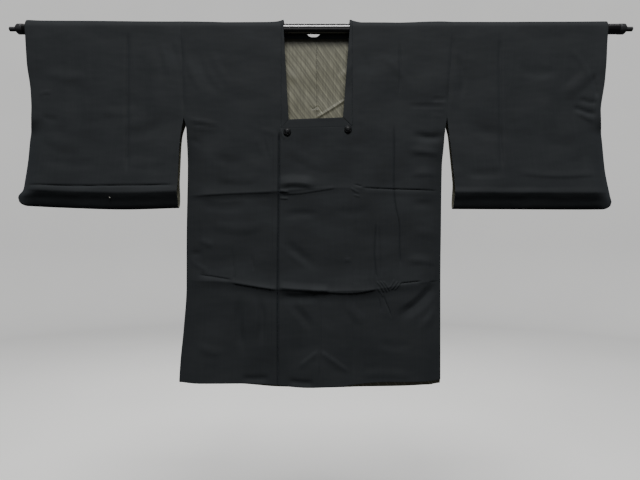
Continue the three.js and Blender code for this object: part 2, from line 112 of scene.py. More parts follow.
class Curve:
    """A smooth line through a few rows of (at, value), that never overshoots a row."""

    def __init__(self, *rows):
        rows = sorted(rows)
        self.at = np.array([row[0] for row in rows], float)
        self.value = np.array([row[1] for row in rows], float)
        slope = np.diff(self.value) / np.diff(self.at)
        before, after = slope[:-1], slope[1:]
        same_way = before * after > 0
        self.tangent = np.empty_like(self.value)
        self.tangent[0], self.tangent[-1] = slope[0], slope[-1]
        self.tangent[1:-1] = np.where(same_way, 2 * before * after / np.where(same_way, before + after, 1), 0)

    def __call__(self, at):
        at = np.clip(at, self.at[0], self.at[-1])
        i = np.clip(np.searchsorted(self.at, at, side="right") - 1, 0, len(self.at) - 2)
        span = self.at[i + 1] - self.at[i]
        t = (at - self.at[i]) / span
        t2, t3 = t * t, t * t * t
        return (
            (2 * t3 - 3 * t2 + 1) * self.value[i]
            + (t3 - 2 * t2 + t) * span * self.tangent[i]
            + (3 * t2 - 2 * t3) * self.value[i + 1]
            + (t3 - t2) * span * self.tangent[i + 1]
        )


def ease(t):
    t = np.clip(t, 0, 1)
    return t * t * (3 - 2 * t)


def mix(a, b, t):
    return a + (b - a) * t


# ---- Outlines, each a Curve of height against distance from the middle or the other way round ----

Side = namedtuple("Side", "name sign neck_foot shoulder armhole body sleeve_in cuff hang")

RIGHT = Side(
    name="right",
    sign=-1,
    neck_foot=(-61.6, -205.6),
    shoulder=300.7,
    armhole=292.0,
    body=Curve(
        (-201, 292), (-228, 286.8), (-291, 286.3), (-492, 289.1), (-570, 289.1), (-671, 295.8), (-737, 302.5),
        (-800, 306.5),
    ),
    sleeve_in=Curve((-201, 292.3), (-230, 297.4), (-261, 300.7), (-316, 303), (-367, 305.1), (-404, 308)),
    cuff=Curve(
        (15, 644), (-85, 637.3), (-151, 628.5), (-184, 626.6), (-205, 627), (-222, 630.8), (-242, 636),
        (-247, 636.8), (-292, 641.2), (-336, 647.9), (-359, 652.4), (-374, 663.6), (-388, 663.6), (-404, 657),
    ),
    hang=Curve((305, 0.5), (430, -2.8), (560, 1), (660, 6)),
)
LEFT = Side(
    name="left",
    sign=1,
    neck_foot=(57.9, -200.5),
    shoulder=302.0,
    armhole=286.7,
    body=Curve(
        (-201, 286.7), (-228, 283.1), (-270, 280.4), (-303, 278.1), (-359, 277), (-448, 275.9), (-570, 274.7),
        (-800, 274.7),
    ),
    sleeve_in=Curve((-201, 287), (-230, 290), (-261, 293.3), (-305, 297.7), (-360, 302.1), (-404, 302.6)),
    cuff=Curve(
        (15, 643.1), (-118, 634.3), (-188, 624.4), (-205, 624.8), (-222, 628.5), (-242, 633), (-247, 633.6),
        (-314, 640.3), (-370, 651.4), (-390, 655.9), (-404, 655),
    ),
    hang=Curve((300, -1.7), (450, -2.5), (590, -3), (655, -2.5)),
)
SIDES = (RIGHT, LEFT)

FRONT_HEM = Curve(
    (-305, -785), (-169, -786), (-81, -790), (-15, -793.5), (51, -792), (85, -787.5), (161, -782.5), (275, -779.8)
)
BACK_HEM = Curve((-305, -787), (-165, -794), (-80, -800), (0, -801), (190, -798), (250, -794), (275, -788))
HEM_LEVEL = -785.0
STRETCH_FROM = -604.0

# How far the cloth stands above the rod, along it: it rises to the neck's corners and to the open cuffs.
TOP_RISE = Curve(
    (-643, 6.4), (-608, 5.0), (-514, 4.5), (-452, 3.9), (-389, 3.1), (-327, 2.8), (-296, 3.0), (-265, 2.6),
    (-233, 2.0), (-202, 1.0), (-140, 1.25), (-109, 1.5), (-91, 2.6), (-81, 4.6), (-75, 6.0), (75, 6.0), (81, 4.6),
    (90, 2.2), (99, 0.6), (150, 0.4), (181, 0), (212, 0.9), (243, 2.4), (275, 3.0), (306, 1.9), (431, 1.7),
    (462, 2.1), (524, 2.25), (587, 2.55), (643, 3.2),
)

# ---- Creases ----

# line: where it runs, as (x, z). out: how far its ridge stands out, or below zero how deep its trough is.
# left and right: how far it reaches to each side of the line's own way. Left is above a line that runs to +X, and
# on the +X side of one that runs down. fade: over this length its ends die out.
# sharp: 1 for a pressed crease, 0 for a soft swell.
Crease = namedtuple("Crease", "line out left right fade sharp", defaults=(14, 1))

# The two storage folds. out: how far one stands out where its strength is 1. above and below: its reach.
Fold = namedtuple("Fold", "line out above below strength")
FOLDS = (
    Fold(
        Curve((-287, -372), (-87, -363), (51, -355), (174, -362), (275, -363)),
        3.5, 42, 16,
        Curve((-290, 1), (-90, 1), (-10, 0.45), (275, 0.3)),
    ),
    Fold(
        Curve((-289, -559), (-205, -561), (-83, -578), (0, -582), (100, -580), (200, -567), (275, -558)),
        6, 55, 26,
        Curve((-290, 0.5), (-180, 0.75), (-80, 1), (60, 1), (150, 0.7), (275, 0.4)),
    ),
)

# Beside the armholes' seams, on the body and on the sleeve alike.
ARMHOLE_CREASE = {
    "right": Crease(((-300, -14), (-296, -100), (-292.3, -196)), -1.8, 9, 9, 40, 0.5),
    "left": Crease(((301.4, -10), (294, -110), (287, -196)), -1.8, 9, 9, 40, 0.5),
}

FRONT_CREASES = (
    # The upper storage fold: a step on the left, a trough on the right.
    Crease(((-279, -375), (-186, -368), (-88, -365)), 0.6, 14, 2.4, 20),
    Crease(((-84, -364), (-74, -364), (-58, -366)), 2.4, 7, 2.6, 8),
    Crease(((-84, -378), (-74, -379), (-60, -380)), 1.8, 6, 3, 8),
    Crease(((-92, -350), (-60, -345), (-30, -346), (2, -351)), 5.0, 20, 12, 30, 0.3),
    Crease(((-78, -369), (-40, -368), (0, -362), (44, -355)), 1.3, 10, 3, 14),
    Crease(((-84, -418), (-34, -412), (14, -416)), -2.0, 13, 14, 40, 0.1),
    Crease(((82, -347), (101, -353)), -1.8, 3, 5, 6),
    Crease(((98, -355), (170, -358), (271, -361)), -2.3, 3, 11, 14),
    Crease(((74, -356), (94, -368)), 1.8, 5, 3, 6),
    Crease(((80, -370), (95, -376)), 1.5, 4, 3, 5),
    # The lower one: a trough at the far left, then a step that grows towards the middle.
    Crease(((-262, -546), (-225, -551), (-184, -558)), -2.1, 4, 10, 16),
    Crease(((-190, -563), (-140, -571), (-86, -579)), 1.9, 13, 3, 16),
    Crease(((-86, -574), (-30, -578), (31, -581)), 3.6, 16, 6, 14, 0.8),
    Crease(((-84, -592), (-44, -596), (10, -592)), -2.4, 12, 20, 30, 0.1),
    Crease(((-17, -582), (75, -586), (134, -577)), 1.9, 13, 3.4, 14),
    Crease(((176, -566), (232, -560)), -2.4, 3.4, 10, 14),
    Crease(((248, -563), (270, -561)), -2.2, 4, 7, 8),
    # The knot of small ripples where the fold meets the armhole's line.
    Crease(((131, -560), (140, -571), (149, -586)), 2.2, 2.6, 2.6, 6),
    Crease(((138, -559), (147, -570), (156, -586)), 2.3, 2.6, 2.6, 6),
    Crease(((145, -559), (153, -569), (162, -583)), 2.0, 2.6, 2.6, 6),
    Crease(((132, -573), (140, -584), (147, -597)), 1.8, 2.6, 2.6, 6),
    Crease(((163, -580), (171, -570), (178, -560)), 2.2, 2.6, 2.6, 5),
    Crease(((170, -581), (178, -571), (185, -561)), 1.8, 2.6, 2.6, 5),
    Crease(((157, -577), (166, -566), (171, -556)), 1.7, 2.6, 2.6, 5),
    Crease(((145, -588), (153, -610), (160, -626), (164, -642)), -2.4, 3, 3, 14),
    Crease(((135, -594), (140, -612), (141, -630)), -1.7, 3, 3, 12),
    # Lines that run down: where the panels were folded lengthwise.
    Crease(
        ((170, -214), (170, -290), (170, -362), (174, -402), (180, -430), (182, -455), (183, -507), (187, -534)),
        -3.3, 4.2, 4.2, 30,
    ),
    Crease(((131, -432), (128, -480), (127, -505), (129, -532), (133, -560)), -3.1, 4, 4, 20),
    Crease(((137, -440), (140, -500), (142, -552)), -1.4, 4, 4, 20),
    Crease(((-187, -486), (-184, -520), (-180, -564)), -2.0, 4, 4, 16),
    Crease(((-144, -503), (-137, -537)), -1.8, 4, 4, 10),
    Crease(((-186, -642), (-187, -690)), -1.0, 4, 4, 16),
    Crease(((7, -597), (8, -680), (6, -792)), -1.7, 4, 4, 30),
    Crease(((-97, -232), (-98, -420), (-100, -600), (-101, -790)), -1.0, 3.4, 3.4, 30),
    # Soft hollows between them.
    Crease(((-84, -462), (-40, -500), (4, -534)), -1.9, 17, 15, 44, 0.1),
    Crease(((-70, -494), (-20, -528)), 1.1, 12, 12, 26, 0.1),
    Crease(((-168, -584), (-172, -650), (-160, -734)), -3.6, 15, 15, 60, 0.2),
    Crease(((-130, -584), (-120, -640), (-124, -710)), -3.2, 13, 13, 50, 0.2),
    Crease(((-66, -598), (-30, -640), (-4, -676)), -3.0, 17, 15, 44, 0.2),
    Crease(((60, -604), (90, -640), (118, -654)), 1.6, 17, 15, 30, 0.1),
    Crease(((-262, -392), (-200, -400), (-150, -394)), -1.4, 16, 14, 30, 0.1),
    Crease(((-240, -436), (-170, -446), (-110, -440)), 1.2, 16, 14, 34, 0.1),
    Crease(((30, -404), (80, -410), (120, -402)), -1.2, 16, 14, 30, 0.1),
    Crease(((20, -250), (70, -262), (120, -256)), -1.1, 18, 16, 34, 0.1),
    Crease(((-70, -262), (-20, -296), (34, -316)), 1.0, 18, 16, 50, 0.1),
    Crease(((-240, -284), (-190, -300), (-150, -296)), -1.4, 20, 16, 34, 0.1),
    Crease(((-230, -330), (-170, -338), (-120, -330)), 1.1, 14, 14, 34, 0.1),
    # The chest and the shoulders.
    Crease(((84, -193), (113, -192)), -1.4, 3, 6, 10),
    Crease(((-124, -229), (-100, -233), (-84, -238)), 1.2, 6, 6, 12, 0.5),
    Crease(((-121, -232), (-112, -266), (-104, -300)), -0.9, 6, 7, 26, 0.4),
    Crease(((-132, -234), (-128, -262), (-121, -286)), 0.6, 5, 5, 20, 0.4),
    Crease(((-288, -40), (-276, -100), (-242, -160)), 1.0, 13, 13, 50, 0.1),
    Crease(((-266, -44), (-246, -108), (-206, -162)), -0.9, 13, 13, 50, 0.1),
    Crease(((-240, -34), (-216, -92), (-182, -140)), 0.7, 13, 13, 50, 0.1),
    Crease(((98, -46), (112, -96), (104, -150)), -1.0, 11, 11, 44, 0.1),
    Crease(((182, -30), (184, -100), (181, -160)), -1.8, 6, 6, 40, 0.6),
    Crease(((140, -60), (190, -110), (222, -150)), 0.9, 13, 13, 50, 0.1),
    ARMHOLE_CREASE["right"],
    ARMHOLE_CREASE["left"],
    # Under the arms.
    Crease(((250, -160), (290, -159)), -2.0, 3, 7, 12, 0.8),
    Crease(((196, -172), (240, -175), (288, -174)), -1.9, 3, 8, 22, 0.8),
    Crease(((240, -185), (290, -189)), -1.3, 4, 8, 22, 0.6),
    Crease(((206, -238), (250, -243), (292, -240)), -5.6, 10, 17, 36, 0.4),
    Crease(((196, -276), (240, -278), (286, -283)), 3.6, 18, 7, 34, 0.6),
    Crease(((200, -325), (245, -325), (279, -327)), 2.6, 19, 9, 32, 0.5),
    Crease(((204, -390), (277, -393)), -1.6, 14, 16, 34, 0.2),
    Crease(((200, -448), (274, -460)), 1.2, 15, 13, 34, 0.2),
    Crease(((188, -516), (225, -517), (272, -523)), 2.6, 18, 8, 34, 0.5),
    Crease(((242, -530), (272, -532)), -1.6, 6, 8, 10),
    Crease(((276, -552), (244, -588), (216, -614), (172, -644)), -5.8, 22, 17, 44, 0.3),
    Crease(((277, -596), (256, -634), (218, -676)), 2.9, 18, 13, 44, 0.3),
    Crease(((58, -514), (79, -515)), 1.6, 7, 5, 8, 0.5),
    Crease(((-290, -205), (-255, -211), (-214, -216)), 2.3, 10, 5, 26, 0.6),
    Crease(((-287, -222), (-250, -226), (-214, -230)), 1.2, 8, 5, 26, 0.6),
    Crease(((-284, -246), (-248, -262)), -1.5, 10, 12, 20, 0.3),
    Crease(((-289, -497), (-246, -501)), -4.0, 8, 12, 22, 0.5),
    Crease(((-286, -512), (-262, -528), (-238, -541)), 2.4, 10, 5, 12, 0.8),
    Crease(((-263, -470), (-224, -484)), 2.0, 9, 6, 14, 0.6),
    # Near the hem.
    Crease(((-44, -749), (-18, -729), (6, -711)), 2.4, 4, 17, 16, 0.9),
    Crease(((4, -711), (32, -730), (73, -760)), 2.8, 4, 17, 18, 0.9),
    Crease(((-171, -775), (-135, -777), (-101, -776)), -3.4, 10, 9, 20, 0.3),
    Crease(((-66, -779), (-34, -783), (-2, -784)), -3.4, 10, 9, 18, 0.3),
    Crease(((96, -770), (150, -764), (210, -768)), 1.4, 14, 12, 30, 0.2),
    Crease(((-270, -700), (-230, -716), (-196, -720)), 1.5, 16, 14, 30, 0.1),
    Crease(((130, -690), (170, -704), (216, -700)), -1.5, 16, 14, 30, 0.1),
    # Small puckers round the buttons.
    Crease(((-76, -226), (-77.5, -234), (-73, -243), (-64, -246.5), (-55, -244)), 2.3, 3.6, 3, 5),
    Crease(((59, -229), (61.5, -236), (68.7, -239), (76, -236)), 1.8, 3.4, 2.8, 5),
)

# The panel's cloth tucks in beside the overlap's free edge, and further on under it, to lie clear of it.
OVERLAP_TUCK = (
    Crease(((-82.8, -238), (-82.8, -300), (-84.4, -450), (-85.8, -600), (-85.8, -792)), -9.0, 6.6, 4.6, 5),
)

BACK_CREASES = (
    Crease(((-275, -371), (-170, -367), (-40, -361), (60, -356)), 1.4, 9, 4, 30),
    Crease(((80, -358), (170, -361), (270, -363)), -1.5, 4, 9, 24),
    Crease(((-262, -556), (-200, -561), (-120, -570)), -1.6, 5, 9, 24),
    Crease(((-130, -573), (-30, -581), (90, -580), (150, -572)), 2.0, 10, 4, 26),
    Crease(((160, -569), (262, -558)), -1.5, 5, 9, 24),
    Crease(((-150, -90), (-151, -240), (-149, -420), (-151, -540)), -0.8, 4, 4, 40),
    Crease(((148, -120), (150, -300), (149, -500), (151, -640)), -0.8, 4, 4, 40),
    Crease(((-152, -620), (-150, -760)), -0.6, 4, 4, 26),
    Crease(((-284, -232), (-246, -241), (-205, -240)), -1.6, 10, 10, 22, 0.4),
    Crease(((278, -226), (240, -238), (196, -240)), -1.7, 10, 10, 24, 0.4),
    Crease(((-279, -268), (-236, -276)), 1.4, 12, 6, 18, 0.7),
    Crease(((274, -270), (226, -282)), 1.3, 7, 13, 18, 0.7),
    Crease(((-250, -606), (-214, -640), (-190, -672)), -1.7, 16, 15, 30, 0.3),
    Crease(((246, -596), (226, -622), (208, -650)), -1.8, 15, 15, 28, 0.3),
    Crease(((-96, -52), (-70, -92), (-36, -118)), -1.0, 12, 12, 26, 0.2),
    Crease(((96, -52), (74, -88), (40, -114)), -1.0, 12, 12, 26, 0.2),
    Crease(((-40, -706), (-6, -738), (34, -764)), 1.1, 14, 12, 26, 0.4),
)

SLEEVE_CREASES = {
    ("right", "front"): (
        ARMHOLE_CREASE["right"],
        Crease(((-416, -10), (-417, -150), (-415, -330)), -3.2, 8, 8, 40, 0.7),
        Crease(((-612, -151), (-596, -146), (-581, -148)), 1.9, 6, 4, 8),
        Crease(((-640, -349), (-520, -352), (-420, -351), (-310, -350)), -2.7, 5, 5, 20),
        Crease(((-612, -226), (-560, -258), (-505, -268)), 1.9, 26, 22, 50, 0.1),
        Crease(((-330, -214), (-384, -236), (-440, -240)), -1.9, 20, 22, 40, 0.1),
        Crease(((-520, -40), (-531, -150), (-527, -250)), -1.6, 24, 24, 60, 0),
        Crease(((-366, -30), (-356, -130), (-360, -220)), 1.7, 24, 24, 60, 0),
        Crease(((-326, -20), (-307, -80), (-300, -134)), -1.1, 12, 10, 44, 0.1),
        Crease(((-350, -20), (-332, -76), (-322, -126)), 0.9, 12, 12, 44, 0.1),
        Crease(((-606, -196), (-588, -204), (-566, -206)), -1.4, 9, 11, 14, 0.3),
        Crease(((-600, -96), (-560, -112), (-500, -108)), 1.3, 18, 16, 34, 0.1),
        Crease(((-480, -182), (-440, -190), (-380, -184)), 1.2, 16, 16, 34, 0.1),
        Crease(((-600, -296), (-540, -306), (-470, -302)), -1.2, 16, 16, 40, 0.1),
        Crease(((-420, -296), (-370, -302), (-320, -294)), 1.1, 16, 16, 34, 0.1),
    ),
    ("right", "back"): (
        Crease(((-440, -20), (-441, -180), (-438, -350)), -1.0, 3, 3, 40),
        Crease(((-612, -216), (-580, -240), (-520, -252)), 1.7, 24, 22, 50, 0.1),
        Crease(((-318, -222), (-376, -250), (-430, -252)), -1.9, 20, 22, 40, 0.1),
        Crease(((-330, -60), (-350, -120), (-352, -180)), 1.7, 18, 18, 40, 0.1),
        Crease(((-590, -110), (-540, -126), (-480, -120)), -1.3, 18, 18, 34, 0.1),
    ),
    ("left", "front"): (
        ARMHOLE_CREASE["left"],
        Crease(((404.6, -12), (404, -160), (405, -330)), -3.2, 8, 8, 40, 0.7),
        Crease(((540, -154), (574, -128), (606, -92)), 2.6, 20, 20, 30, 0.0),
        Crease(((608, -104), (612, -130), (618, -160)), -3.0, 9, 9, 14, 0.2),
        Crease(((574, -158), (598, -166), (620, -168)), -2.6, 7, 10, 14, 0.4),
        Crease(((566, -184), (592, -201), (614, -210)), 2.4, 9, 8, 18, 0.4),
        Crease(((562, -50), (586, -86), (606, -124)), 1.5, 10, 9, 20, 0.2),
        Crease(((562, -178), (592, -188), (618, -194)), -3.4, 8, 10, 14, 0.4),
        Crease(((330, -212), (372, -232), (430, -238)), -2.0, 20, 22, 40, 0.1),
        Crease(((500, -36), (512, -150), (506, -260)), 1.7, 24, 24, 60, 0),
        Crease(((600, -252), (560, -280), (500, -286)), 1.7, 22, 24, 50, 0.1),
        Crease(((310, -318), (360, -326), (420, -322)), -1.3, 14, 14, 40, 0.1),
        Crease(((308, -60), (322, -110), (318, -160)), -1.6, 10, 10, 30, 0.1),
        Crease(((440, -90), (480, -104), (540, -96)), -1.2, 18, 16, 34, 0.1),
        Crease(((430, -322), (520, -330), (620, -326)), 1.3, 12, 8, 40, 0.3),
    ),
    ("left", "back"): (
        Crease(((432, -20), (434, -180), (430, -350)), -1.0, 3, 3, 40),
        Crease(((612, -216), (580, -240), (520, -254)), 1.7, 24, 22, 50, 0.1),
        Crease(((318, -222), (376, -248), (430, -250)), -1.9, 20, 22, 40, 0.1),
        Crease(((330, -64), (352, -120), (350, -184)), 1.6, 18, 18, 40, 0.1),
        Crease(((590, -104), (536, -122), (476, -118)), -1.3, 18, 18, 34, 0.1),
    ),
}

# The lining hangs a little looser than the panel behind it.
LINING_CREASES = (
    Crease(((-3, -197), (2, -194), (31, -176.5), (64, -155)), 2.6, 5, 6, 8, 0.7),
    Crease(((-14, -168), (-9, -176), (-1, -171), (3, -170.5), (10.5, -181), (15, -183)), -1.3, 2.2, 3, 3, 1),
    Crease(((-3, -181), (1, -177), (5, -182)), 1.2, 3, 3, 3, 0.6),
    Crease(((-52, -60), (-48, -120), (-40, -180)), 0.9, 12, 14, 40, 0.1),
    Crease(((44, -44), (47, -110), (38, -176)), -0.8, 12, 14, 40, 0.1),
)

# The slow swells of cloth that has hung for a while: (across, along, phase, out), lengths of a whole wave.
SWELLS = (
    (330, 96, 0.6, 0.32), (-210, 67, 2.1, 0.14), (520, 150, 4.0, 0.55), (140, -105, 1.2, 0.26), (170, 52, 5.1, 0.09),
    (-120, 190, 0.3, 0.5),
)


def smooth_line(points, step=6.0):
    """The same line with its corners rounded."""
    pts = np.array(points, float)
    if len(pts) == 2:
        return pts
    ends = np.vstack([2 * pts[0] - pts[1], pts, 2 * pts[-1] - pts[-2]])
    out = []
    for a, b, c, d in zip(ends, ends[1:], ends[2:], ends[3:]):
        count = max(2, int(np.hypot(*(c - b)) / step))
        for t in np.arange(count) / count:
            out.append(
                0.5 * (2 * b + (c - a) * t + (2 * a - 5 * b + 4 * c - d) * t**2 + (3 * b - 3 * c + d - a) * t**3)
            )
    out.append(pts[-1])
    return np.array(out)


def add_crease(relief, x, z, crease):
    """Adds one crease to the relief, in place, only where it reaches."""
    line = smooth_line(crease.line)
    reach = max(crease.left, crease.right)
    near = (
        (x > line[:, 0].min() - reach)
        & (x < line[:, 0].max() + reach)
        & (z > line[:, 1].min() - reach)
        & (z < line[:, 1].max() + reach)
    )
    if not near.any():
        return
    px, pz = x[near], z[near]
    best = np.full(px.shape, 1e9)
    turn = np.zeros(px.shape)
    along = np.zeros(px.shape)
    passed = 0.0
    for (ax, az), (bx, bz) in zip(line, line[1:]):
        dx, dz = bx - ax, bz - az
        length = math.hypot(dx, dz)
        t = np.clip(((px - ax) * dx + (pz - az) * dz) / length**2, 0, 1)
        rx, rz = px - ax - t * dx, pz - az - t * dz
        distance = np.hypot(rx, rz)
        closer = distance < best
        best = np.where(closer, distance, best)
        turn = np.where(closer, dx * rz - dz * rx, turn)
        along = np.where(closer, passed + t * length, along)
        passed += length
    share = np.clip(best / np.where(turn > 0, crease.left, crease.right), 0, 1)
    profile = mix((1 - share**2) ** 2, (1 - share) ** 2, crease.sharp)
    ends = ease(np.minimum(along, passed - along) / crease.fade)
    relief[near] += crease.out * profile * ends


def creases(x, z, rows):
    relief = np.zeros(np.shape(x))
    for crease in rows:
        add_crease(relief, x, z, crease)
    return relief


def swells(x, z, out=1.0):
    total = np.zeros(np.shape(x))
    for across, along, phase, height in SWELLS:
        total += height * np.sin(2 * math.pi * (x / across + z / along) + phase)
    return out * total * ease(-z / SWELL_START)


# ---- How the cloth hangs ----


def folds(x, z):
    """How far the storage folds stand out."""
    out = np.zeros(np.shape(x))
    for fold in FOLDS:
        above = z - fold.line(x)
        near = np.maximum(0, 1 - np.abs(above) / np.where(above > 0, fold.above, fold.below))
        out += fold.out * fold.strength(x) * near * near
    return out


# (middle, half a wave's width, how far it swings out)
HEM_WAVES = ((-255, 45, 3), (-120, 48, -4), (5, 55, 5), (118, 42, -3.5), (215, 50, 3.5))
HEM_WAVE_TOP = -640.0


def hem_waves(x, z):
    down = ease((HEM_WAVE_TOP - z) / (HEM_WAVE_TOP - HEM_LEVEL))
    out = np.zeros(np.shape(x))
    for middle, half, swing in HEM_WAVES:
        near = np.maximum(0, 1 - np.abs(x - middle) / (2 * half))
        out += swing * near * near * (3 - 2 * near) * down
    return out


def front_relief(x, z, damp=0.0):
    """Creases and swells of the front. damp flattens what stands out, for a layer that lies under another."""
    relief = creases(x, z, FRONT_CREASES) + swells(x, z)
    return np.where(relief > 0, relief * (1 - damp), relief)


def front_depth(x, z, damp=0.0):
    return WRAP + FRONT_HANG * ease(-z / HANG_SPAN) + folds(x, z) + hem_waves(x, z) + front_relief(x, z, damp)


def plain_back(z):
    return WRAP + BACK_HANG * ease(-z / HANG_SPAN)


def back_depth(x, z):
    """The back's folds are half as high as the front's, and at the hem it follows the front's waves half as far."""
    plain = plain_back(z) + folds(x, z) / 2 - hem_waves(x, z) / 2
    return plain + creases(x, z, BACK_CREASES) + swells(x + 37, z + 51)


def pinch(depth, from_edge, reach, closed):
    """Draws front and back together at a sewn edge."""
    edge = CLOTH / 2 + SEAM
    open_share = 1 - np.maximum(0, 1 - from_edge / reach) ** 2
    return edge + (depth - edge) * (1 - closed * (1 - open_share))


def seam_out(side, z):
    """How far from the middle the armhole's seam runs."""
    return mix(side.shoulder, side.armhole, (WRAP - z) / (WRAP - ARMHOLE_END))


def body_out(side, z):
    return np.where(z > ARMHOLE_END, seam_out(side, z), side.body(z))


def sleeve_in(side, z):
    return np.where(z > ARMHOLE_END, seam_out(side, z) + STITCHED, side.sleeve_in(z))


def squared(share):
    """How wide a neckline still is at a share of its drop: a square with rounded corners."""
    return np.maximum(0, 1 - np.minimum(1, share) ** NECK_SQUARENESS) ** (1 / NECK_SQUARENESS)


def neck_seam_at(z):
    return np.maximum(0.02, NECK_SEAM * squared((WRAP - z) / BACK_NECK_DROP))


def to_hem(level, hem):
    """Heights from even levels, the lowest of them stretched to meet the hem."""
    low = mix(STRETCH_FROM, hem, (level - STRETCH_FROM) / (HEM_LEVEL - STRETCH_FROM))
    return np.where(level >= STRETCH_FROM, level, low)


def band_foot(x):
    """The height of the cross band's lower edge."""
    return mix(RIGHT.neck_foot[1], LEFT.neck_foot[1], (x + NECK_SEAM) / (2 * NECK_SEAM)) - BAND_HEIGHT


def overlap_lift(x):
    """How far the outer overlap stands off: wholly at its free edge, not at all at its seam."""
    return OVERLAP * (1 - ease((x + LIFT_SPAN) / (2 * LIFT_SPAN)))


# ---- From a sheet of places to a piece ----


def spaced(start, stop, coarse, fine=()):
    """Places from start to stop, a coarse step apart, or closer inside the (low, high, step) bands."""
    way = 1 if stop > start else -1
    at, out = start, [start]
    while way * (stop - at) > 1e-6:
        steps = [step for low, high, step in fine if low <= at <= high]
        at += way * min(steps or [coarse])
        at = min(at, stop) if way > 0 else max(at, stop)
        out.append(at)
    if len(out) > 2 and abs(out[-1] - out[-2]) < abs(out[-2] - out[-3]) / 3:
        out.pop(-2)
    return np.array(out)


def sheet_mesh(name, place, flat):
    """A cloth mesh from a plain grid. place and flat are rows and columns of places, in millimetres."""
    rows, columns = place.shape[:2]
    bm = bmesh.new()
    bmesh.ops.create_grid(bm, x_segments=columns - 1, y_segments=rows - 1, size=0.5)
    mesh = bpy.data.meshes.new(name)
    bm.to_mesh(mesh)
    bm.free()
    co = np.empty(len(mesh.vertices) * 3)
    mesh.vertices.foreach_get("co", co)
    co = co.reshape(-1, 3)
    column = np.rint((co[:, 0] + 0.5) * (columns - 1)).astype(int)
    row = np.rint((co[:, 1] + 0.5) * (rows - 1)).astype(int)
    mesh.vertices.foreach_set("co", (place[row, column] * MM).ravel())
    corner = np.empty(len(mesh.loops), int)
    mesh.loops.foreach_get("vertex_index", corner)
    cut = mesh.uv_layers.new(name="cut")
    cut.uv.foreach_set("vector", (flat[row[corner], column[corner]] * MM).ravel())
    mesh.polygons.foreach_set("use_smooth", np.ones(len(mesh.polygons), bool))
    mesh.update()
    return mesh


def flat_size(place):
    """Where each place lies on the cut cloth: across from the first column, along from the first row."""
    across = np.linalg.norm(np.diff(place, axis=1), axis=2)
    across = np.concatenate([np.zeros((len(place), 1)), np.cumsum(across, axis=1)], axis=1)
    along = np.linalg.norm(np.diff(place, axis=0), axis=2)
    along = np.concatenate([np.zeros((1, place.shape[1])), np.cumsum(along, axis=0)], axis=0)
    return np.stack([across - across.mean(axis=1, keepdims=True), along - along[len(along) // 2]], axis=2)


def add_piece(name, mesh, slot, node, *materials):
    piece = bpy.data.objects.new(name, mesh)
    bpy.context.scene.collection.objects.link(piece)
    for material in materials:
        mesh.materials.append(material)
    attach(piece, "root")
    if node:
        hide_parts(node)
    return piece


def add_wall(piece, thickness, lined=False, edge=0.7):
    """Gives a sheet its thickness and rounds its edges."""
    wall = piece.modifiers.new("wall", "SOLIDIFY")
    wall.thickness = thickness * MM
    wall.offset = 0
    wall.use_even_offset = False
    if lined:
        wall.material_offset = 1
        wall.material_offset_rim = 0
    rounding = piece.modifiers.new("edges", "BEVEL")
    rounding.width = edge * MM
    rounding.segments = 2
    rounding.limit_method = "ANGLE"
    rounding.angle_limit = math.radians(62)
    return piece


# ---- Materials ----


